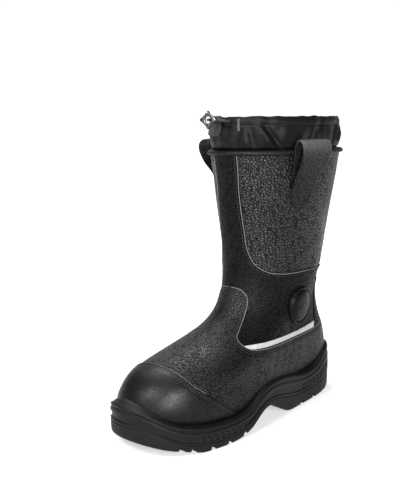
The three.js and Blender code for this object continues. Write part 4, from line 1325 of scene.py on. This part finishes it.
@dataclass
class CordLock:
    """The drawcord's end and the small cast lock that slides on it."""

    size: float = 19
    depth: float = 6
    bore: float = 2.6
    stand: float = 15.7
    facing: float = 35
    diameter: float = 2.8
    cuff: Cuff = field(default_factory=Cuff)

    def off_cuff(self, angle: float, up: float, out: float) -> Array:
        """A point off the cuff, as the solids place it: out is a share of stand."""
        table = np.array(self.cuff.section)
        gathers = [math.cos(10 * deg(angle) + 3 * s) - 0.4 * math.cos(5 * deg(angle)) for s in table[:, 0]]
        away = deg(angle + 15) * 118 / 30 / 3
        swell = 1.32 * np.array(gathers) + 1.6 * math.exp(-away * away)
        face = float(np.interp(up, table[:, 0], table[:, 1] * self.cuff.bulge + table[:, 2] * swell))
        return FORM.collar(np.array(deg(angle)), face + out * self.stand, np.array(up * self.cuff.height))

    def build(self, looks: Finishes) -> None:
        """Makes the cord and the lock."""
        middle = self.off_cuff(-8, 0.97, 1.0)
        lock = self.make_lock(middle, looks)
        facing = deg(self.facing)
        outward = np.array([math.sin(facing), -math.cos(facing), 0.0])
        route = [self.off_cuff(*row) for row in (
            (6, 0.88, 0.054), (6.6, 0.89, 0.287), (6.2, 0.91, 0.535), (4.6, 0.935, 0.69))]
        behind = middle - outward * (self.depth / 2 + 2.6)
        route += [behind + np.array([5.5, 1.5, 0.4]), behind + np.array([0.6, 0.2, 0.1]),
                  middle - outward * 1.5, middle + outward * 1.2]
        line = through(route, 40)
        curve = bpy.data.curves.new("Drawcord", "CURVE")
        curve.dimensions = "3D"
        curve.bevel_depth = self.diameter / 2 * MM
        curve.bevel_resolution = 4
        curve.use_fill_caps = True
        spline = curve.splines.new("POLY")
        spline.points.add(len(line) - 1)
        for point, p in zip(spline.points, (line + OFFSET) * MM):
            point.co = (*p, 1)
        curve.materials.append(looks.cord)
        cord = bpy.data.objects.new("Drawcord", curve)
        bpy.context.scene.collection.objects.link(cord)
        settle(cord, "cord_textile", "drawcord")

    def make_lock(self, middle: Array, looks: Finishes) -> bpy.types.Object:
        """Makes the lock: a thick plate with four soft points and an oval bore."""
        f = deg(self.facing)
        outward = np.array([math.sin(f), -math.cos(f), 0.0])
        sideways = np.cross([0, 0, 1.0], outward)
        a = np.linspace(0, TURN, 128, endpoint=False)[:, None]
        tip = np.array([1, 1, 0.75, 1])
        aways = [np.mod(a - k * math.pi / 2 + math.pi, TURN) - math.pi for k in range(4)]
        lobes = sum(tip[k] * bell(away, 0.3) for k, away in enumerate(aways))
        outer = self.size / 2 * (0.64 + 0.34 * lobes)
        bore = self.bore * np.sqrt(np.cos(a) ** 2 + (1.35 * np.sin(a)) ** 2)
        s = np.linspace(0, TURN, 28, endpoint=False)[None, :]
        r = (outer + bore) / 2 + (outer - bore) / 2 * squarish(np.cos(s), 0.45)
        thinner = 1 - 0.25 * smooth(r, self.size * 0.3, self.size * 0.5)
        d = self.depth / 2 * squarish(np.sin(s), 0.45) * thinner
        points = middle + (r * np.cos(a))[..., None] * sideways
        points = points + (r * np.sin(a))[..., None] * np.array([0, 0, 1.0])
        points = points + d[..., None] * outward
        lock = make_mesh("CordLock", points, grid_faces(128, 28, True, True), looks.metal)
        return settle(lock, "lock_metal", "cord_lock")


@dataclass
class PullLoop:
    """A strap folded over the collar, sewn to the leg at both ends."""

    side: int
    top_width: float = 32
    foot_width: float = 27
    height: float = 71
    thick: float = 2
    room: float = 13.5
    lean: float = -2
    reach: float = 0.326
    rise: float = 0.6
    path: tuple[tuple[float, float, float], ...] = (
        (0.0, 0, 0), (0.06, 0, 0), (0.2, 0, 0.1), (0.36, 0.14, 0.8), (0.52, 0.45, 1), (0.68, 0.82, 1),
        (0.84, 1.06, 1), (0.94, 1.1, 1), (1.0, 0.92, 1), (1.02, 0.6, 0.8), (0.98, 0.28, 0.3),
        (0.9, 0.06, 0), (0.74, 0, 0), (0.6, 0, 0), (0.46, 0, 0),
    )

    def line(self) -> tuple[Array, Array]:
        """The strap's middle: height along it and distance off the leather, smoothly sampled."""
        foot = FORM.instep + self.rise * (FORM.shaft - FORM.instep)
        rows = []
        for up, gap, over in self.path:
            h = up * self.height
            z = foot + h * math.cos(deg(self.lean))
            past = 3.7 * float(smooth(z, FORM.shaft - 25.6, FORM.shaft - 3.2))
            rows.append((h, 0.3 + self.thick / 2 + gap * self.room + over * self.thick + past))
        fine = through(rows, 130)
        return fine[:, 0], fine[:, 1]

    def at(self, h: Array, across: Array, out: Array) -> Array:
        """Points at a height along the strap, across it and off the leather."""
        y = FORM.reach_y(self.reach) + h * math.sin(deg(self.lean)) + across
        z = FORM.instep + self.rise * (FORM.shaft - FORM.instep) + h * math.cos(deg(self.lean))
        return FORM.on_skin(y, z, self.side, out, False)

    def build(self, looks: Finishes, stitches: Stitching) -> bpy.types.Object:
        """Makes the strap.

        Args:
            looks: The finishes.
            stitches: Where its stitch rows are added.

        Returns:
            The strap.
        """
        h, out = self.line()
        turn = np.arctan2(np.gradient(out), np.gradient(h))
        turn = np.unwrap(turn)
        taper = (self.foot_width + (self.top_width - self.foot_width) * h / self.height) / 2
        index = np.arange(len(h))
        ease = np.clip((h + 0.8) / (self.foot_width / 2), 0, 1)
        width = np.where(index < 40, taper * np.sqrt(np.maximum(1 - (1 - ease) ** 2, 0.0004)), taper)
        s = np.linspace(0, TURN, 26, endpoint=False)[None, :]
        across = squarish(np.cos(s), 0.5) * width[:, None]
        thick = squarish(np.sin(s), 0.5) * self.thick / 2
        heights = h[:, None] - np.sin(turn)[:, None] * thick
        points = self.at(heights, across, out[:, None] + np.cos(turn)[:, None] * thick)
        # A painted highlight along the top of the fold over the collar, where the strap is lit.
        painted_highlight = {"fold": bell(index[:, None] - 74, 16) + 0 * s}
        name = "PullLoopOuter" if self.side > 0 else "PullLoopInner"
        node = "pull_loop_outer" if self.side > 0 else "pull_loop_inner"
        faces = grid_faces(len(h), s.size, close_cols=True, flip=self.side < 0)
        strap = make_mesh(name, points, faces, looks.strap, painted_highlight)
        settle(strap, "loop_webbing", node)
        keep = slice(6, 62)
        for edge in (-1, 1):
            ends = np.maximum(width[keep] - 2.6, 0.3) * edge
            stitches.row(self.at(h[keep], ends, out[keep] + self.thick / 2 + 0.1))
        arc = np.linspace(0, math.pi, 50)
        r = self.foot_width / 2 - 2.6
        low = self.foot_width / 2 - r * np.sin(arc)
        stitches.row(self.at(low, r * np.cos(arc), np.full(50, 0.3 + self.thick + 0.1)))
        return strap


@dataclass
class Guard:
    """A domed disc with a groove round it, on the ankle."""

    side: int
    radius: float = 21.5
    height: float = 4.6
    place: tuple[float, float] = (0.277, 0.855)
    profile: tuple[tuple[float, float], ...] = (
        (1.0, -0.5), (1.0, 0.1), (0.99, 0.26), (0.965, 0.36), (0.93, 0.38), (0.9, 0.32), (0.87, 0.17),
        (0.85, 0.13), (0.83, 0.2), (0.8, 0.38), (0.74, 0.55), (0.62, 0.76), (0.48, 0.88), (0.34, 0.95),
        (0.2, 0.985), (0.08, 1.0), (0.004, 1.0),
    )

    def build(self, looks: Finishes) -> bpy.types.Object:
        """Makes the disc."""
        rows = through(self.profile, 64)
        a = np.linspace(0, TURN, 96, endpoint=False)[None, :]
        r = rows[:, :1] * self.radius
        y = FORM.reach_y(self.place[0]) + r * np.cos(a)
        z = self.place[1] * FORM.instep + r * np.sin(a)
        out = 1.7 + rows[:, 1:] * self.height + 0 * a
        points = FORM.on_skin(y, z, self.side, out, False)
        name = "AnkleGuardOuter" if self.side > 0 else "AnkleGuardInner"
        node = "ankle_guard_outer" if self.side > 0 else "ankle_guard_inner"
        faces = grid_faces(len(rows), 96, close_cols=True, flip=self.side > 0)
        return settle(make_mesh(name, points, faces, looks.guard), "guard_rubber", node)


@dataclass
class Strip:
    """The grey strip between the leg and the vamp, on the outer side."""

    base: float = 1.7
    thick: float = 0.7

    def build(self, looks: Finishes) -> bpy.types.Object:
        """Makes the strip."""
        low = FORM.to_side(STRIP_BOTTOM, 150)
        high = FORM.to_side(STRIP_TOP, 150)
        v = np.linspace(0, 1, 11)[None, :]
        side = low[:, None] * (1 - v[..., None]) + high[:, None] * v[..., None]
        u = np.linspace(0, 1, 151)[:, None]
        edge = np.minimum(np.minimum(v, 1 - v) * 8, np.minimum(u, 1 - u) * 90)
        out = self.base + self.thick * (1 - (1 - np.clip(edge, 0, 1)) ** 2) - 0.7 * (edge <= 0)
        out = out + 0.25 * bell((u - 0.575) * 150, 1.2)
        points = FORM.on_skin(side[..., 0], side[..., 1], 1, out)
        tape = make_mesh("ReflectiveStrip", points, grid_faces(u.size, v.size), looks.tape)
        return settle(tape, "reflective_tape", "reflective_strip")


@dataclass(frozen=True)
class Groove:
    """A groove across the tread: where it is, and how far its outer ends lie forward."""

    reach: float
    sweep: float


@dataclass
class Sole:
    """Midsole, outsole and insole, all round the feather line.

    core is how far in the outsole's hidden top starts, spine is the width of the tread's middle bar,
    toe_drop is how far the rim sinks at the toe and side lists the midsole's steps as height and reach.
    """

    core: float = 4.6
    tread_depth: float = 5
    groove: float = 6.5
    spine: float = 10
    rib_depth: float = 1.7
    rib_width: float = 3.8
    toe_drop: float = 2.2
    columns: int = 900
    side: tuple[tuple[float, float], ...] = (
        (0.0, 0.94), (0.02, 0.98), (0.09, 1.03), (0.115, 1.0), (0.13, 0.85), (0.15, 0.81), (0.45, 0.81),
        (0.465, 0.85), (0.485, 1.0), (0.51, 1.03), (0.6, 1.03), (0.66, 1.0), (0.69, 0.98), (0.705, 0.88),
        (0.72, 0.85), (0.79, 0.86), (0.805, 0.89), (0.825, 0.94), (0.87, 0.97), (0.92, 0.94), (0.96, 0.86),
        (0.985, 0.74), (1.0, 0.56),
    )
    grooves: tuple[Groove, ...] = (
        Groove(0.93, -5), Groove(0.855, 6), Groove(0.78, 6), Groove(0.705, 6), Groove(0.625, 6),
        Groove(0.275, -4), Groove(0.19, -6), Groove(0.1, -8),
    )

    def __post_init__(self) -> None:
        """Samples the feather line evenly, with its outward direction."""
        t = FORM.along[1]
        self.angles = FORM.even_angles(float(t), self.columns + 1)[:-1]
        self.feather = FORM.skin(t, self.angles)
        e = 0.01
        way = FORM.skin(t, self.angles + e) - FORM.skin(t, self.angles - e)
        self.outward = np.stack([way[:, 1], -way[:, 0], 0 * way[:, 0]], -1)
        self.outward /= np.linalg.norm(self.outward, axis=1, keepdims=True)
        self.spread = FORM.sole(self.feather[:, 1])[:, 4]
        edge = self.feather + self.outward * (FORM.margin * self.spread)[:, None]
        self.edge_y = edge[:, 1]
        self.curves = FORM.sole(self.edge_y)
        self.travel = np.r_[0, np.cumsum(np.linalg.norm(np.diff(edge[:, :2], axis=0), axis=1))]

    def loop(self, margin: Array, z: Array) -> Array:
        """The sole's outline at a margin from the feather line and a height."""
        out = FORM.margin * self.spread + np.asarray(margin, float) - FORM.margin
        p = self.feather + self.outward * out[:, None]
        p[:, 2] = z
        return p

    def build(self, looks: Finishes) -> None:
        """Makes the three pieces."""
        self.midsole(looks)
        self.outsole(looks)
        self.insole(looks)

    def ribs(self, up: Array) -> Array:
        """How far the upright ribs stand out, for each row and column."""
        reach = (FORM.heel_back - self.edge_y) / FORM.foot_length
        ball = smooth(reach, 0.652, 0.66) * (1 - smooth(reach, 0.866, 0.874))
        heel = 1 - smooth(reach, 0.246, 0.254)
        phase = np.mod(self.travel / (2 * self.rib_width), 1)
        pulse = smooth(np.abs(phase - 0.5), 0.2, 0.3)
        band = smooth(up, 0.12, 0.14) * (1 - smooth(up, 0.44, 0.46))
        return self.rib_depth * band[:, None] * (pulse * np.maximum(ball, heel))[None, :]

    def midsole(self, looks: Finishes) -> None:
        """Makes the midsole: its stepped side, and its top in to the upper."""
        reach = (FORM.heel_back - self.edge_y) / FORM.foot_length
        rim = self.curves[:, 0] - self.toe_drop * smooth(reach, 0.93, 1.02)
        split = self.curves[:, 2]
        table = np.array(self.side)
        up = np.unique(np.r_[np.linspace(0, 1, 40), table[:, 0]])
        out = np.interp(up, table[:, 0], table[:, 1]) * FORM.margin
        ribs = self.ribs(up)
        rows = [self.loop(np.full(self.columns, 2.0), split + 0.1)]
        for i, u in enumerate(up):
            rows.append(self.loop(out[i] + ribs[i], split + (rim - split) * u))
        t = np.full(self.columns, 0.2)
        for _ in range(30):
            level = rim + 0.8 + 4 * (self.spread - 1)
            t = np.clip(t + (level - FORM.skin(t, self.angles)[:, 2]) / FORM.length, 0, 1)
        inner = FORM.off(t, self.angles, 1.2, False)
        last = rows[-1]
        rows.append(last * 0.75 + inner * 0.25 + np.array([0, 0, 0.6]))
        rows.append(last * 0.4 + inner * 0.6 + np.array([0, 0, 0.6]))
        rows.append(inner)
        points = np.stack(rows)
        piece = make_mesh("Midsole", points, grid_faces(*points.shape[:2], close_cols=True), looks.rubber)
        settle(piece, "midsole_rubber", "midsole")

    def depth(self, p: Array) -> Array:
        """How deep the tread's grooves are at points of the sole."""
        x = np.abs(p[..., 0])
        found = np.zeros(p.shape[:-1])
        for groove in self.grooves:
            y = FORM.reach_y(groove.reach) - groove.sweep * x / (FORM.ball_width / 2)
            away = np.abs(p[..., 1] - y)
            here = 1 - smooth(away, self.groove / 2 - 0.6, self.groove / 2 + 0.4)
            found = np.maximum(found, here * smooth(x, self.spine / 2 - 0.5, self.spine / 2 + 0.7))
        return found * self.tread_depth

    def outsole(self, looks: Finishes) -> None:
        """Makes the outsole: its side, its lugs and its tread."""
        split, tread = self.curves[:, 2] - 0.3, self.curves[:, 3]
        cut = self.depth(self.loop(np.full(self.columns, 6.5), tread))
        rows = [self.loop(np.full(self.columns, margin), split) for margin in (self.core, 6.6)]
        for u, out in ((0.98, 0.985), (0.9, 1.0), (0.75, 1.0), (0.6, 1.0), (0.45, 0.99), (0.3, 0.98),
                       (0.2, 0.94), (0.1, 0.86), (0.04, 0.77), (0.01, 0.7)):
            z = np.maximum(tread + (split - tread) * u, tread + cut * (1 - 0.15 * u))
            rows.append(self.loop(np.full(self.columns, out * FORM.margin), np.minimum(z, split - 0.2)))
        edge = self.loop(np.full(self.columns, 0.64 * FORM.margin), tread)
        for k in np.linspace(1, 0, 44):
            p = edge.copy()
            middle = self.halfway(edge)
            p[:, 0] = middle + (edge[:, 0] - middle) * k
            p[:, 2] = tread + np.minimum(self.depth(p), np.maximum(split - tread - 0.6, 0))
            rows.append(p)
        points = np.stack(rows)
        faces = grid_faces(*points.shape[:2], close_cols=True, flip=True)
        settle(make_mesh("Outsole", points, faces, looks.tread), "sole_rubber", "outsole")

    def halfway(self, edge: Array) -> Array:
        """The x half way between both sides of the outline, at each point's y."""
        outer, inner = edge[self.angles <= math.pi], edge[self.angles > math.pi][::-1]
        return sum(np.interp(edge[:, 1], side[:, 1], side[:, 0]) for side in (outer, inner)) / 2

    def insole(self, looks: Finishes) -> None:
        """Makes the insole and the lining over it."""
        a = FORM.even_angles(0.0, 181)[:-1]
        edge = FORM.off(0 * a, a, -FORM.wall - 0.3, False)
        edge[:, 2] += 5
        rows = []
        for k in np.linspace(1.0, 0.02, 26):
            p = edge.copy()
            p[:, 0] = edge[:, 0] * k
            p[:, 2] += -1.2 * smooth(1 - k, 0, 0.4) + 1.0 * bell(1 - k, 0.08)
            rows.append(p)
        points = np.stack(rows)
        values = {"across": points[..., 0], "down": points[..., 1]}
        faces = grid_faces(*points.shape[:2], close_cols=True)
        bed = make_mesh("Insole", points, faces, looks.lining, values)
        settle(bed, "footbed", "insole")
        t = np.linspace(0.01, 0.995, 90)[:, None]
        b = FORM.even_angles(0.8, 181)[:-1][None, :]
        p = FORM.off(t, b, -FORM.wall, False)
        values = {"across": b * 60 + 0 * t, "down": t * FORM.length + 0 * b}
        faces = grid_faces(t.size, b.size, close_cols=True, flip=True)
        lining = make_mesh("Lining", p, faces, looks.lining, values)
        settle(lining, "footbed")


def corners() -> list[list[float]]:
    """The shown model's lowest and highest corners."""
    return [list(map(float, c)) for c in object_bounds()]


def main() -> None:
    """Builds the boot, piece by piece."""
    logging.basicConfig(level=logging.INFO, format="%(message)s")
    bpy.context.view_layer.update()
    View().build()
    looks = Finishes.make()
    CordLock().build(looks)
    Studio().build()
    Sole().build(looks)
    Upper().build(looks)
    Binding().build(looks)
    Cuff().build(looks)
    strap_stitches = Stitching(2.2, 3.2, 0.3)
    for side in (1, -1):
        PullLoop(side).build(looks, strap_stitches)
        Guard(side).build(looks)
    strap_stitches.build("StrapStitches", "loop_webbing", looks.thread)
    Strip().build(looks)


if __name__ == "__main__":
    main()
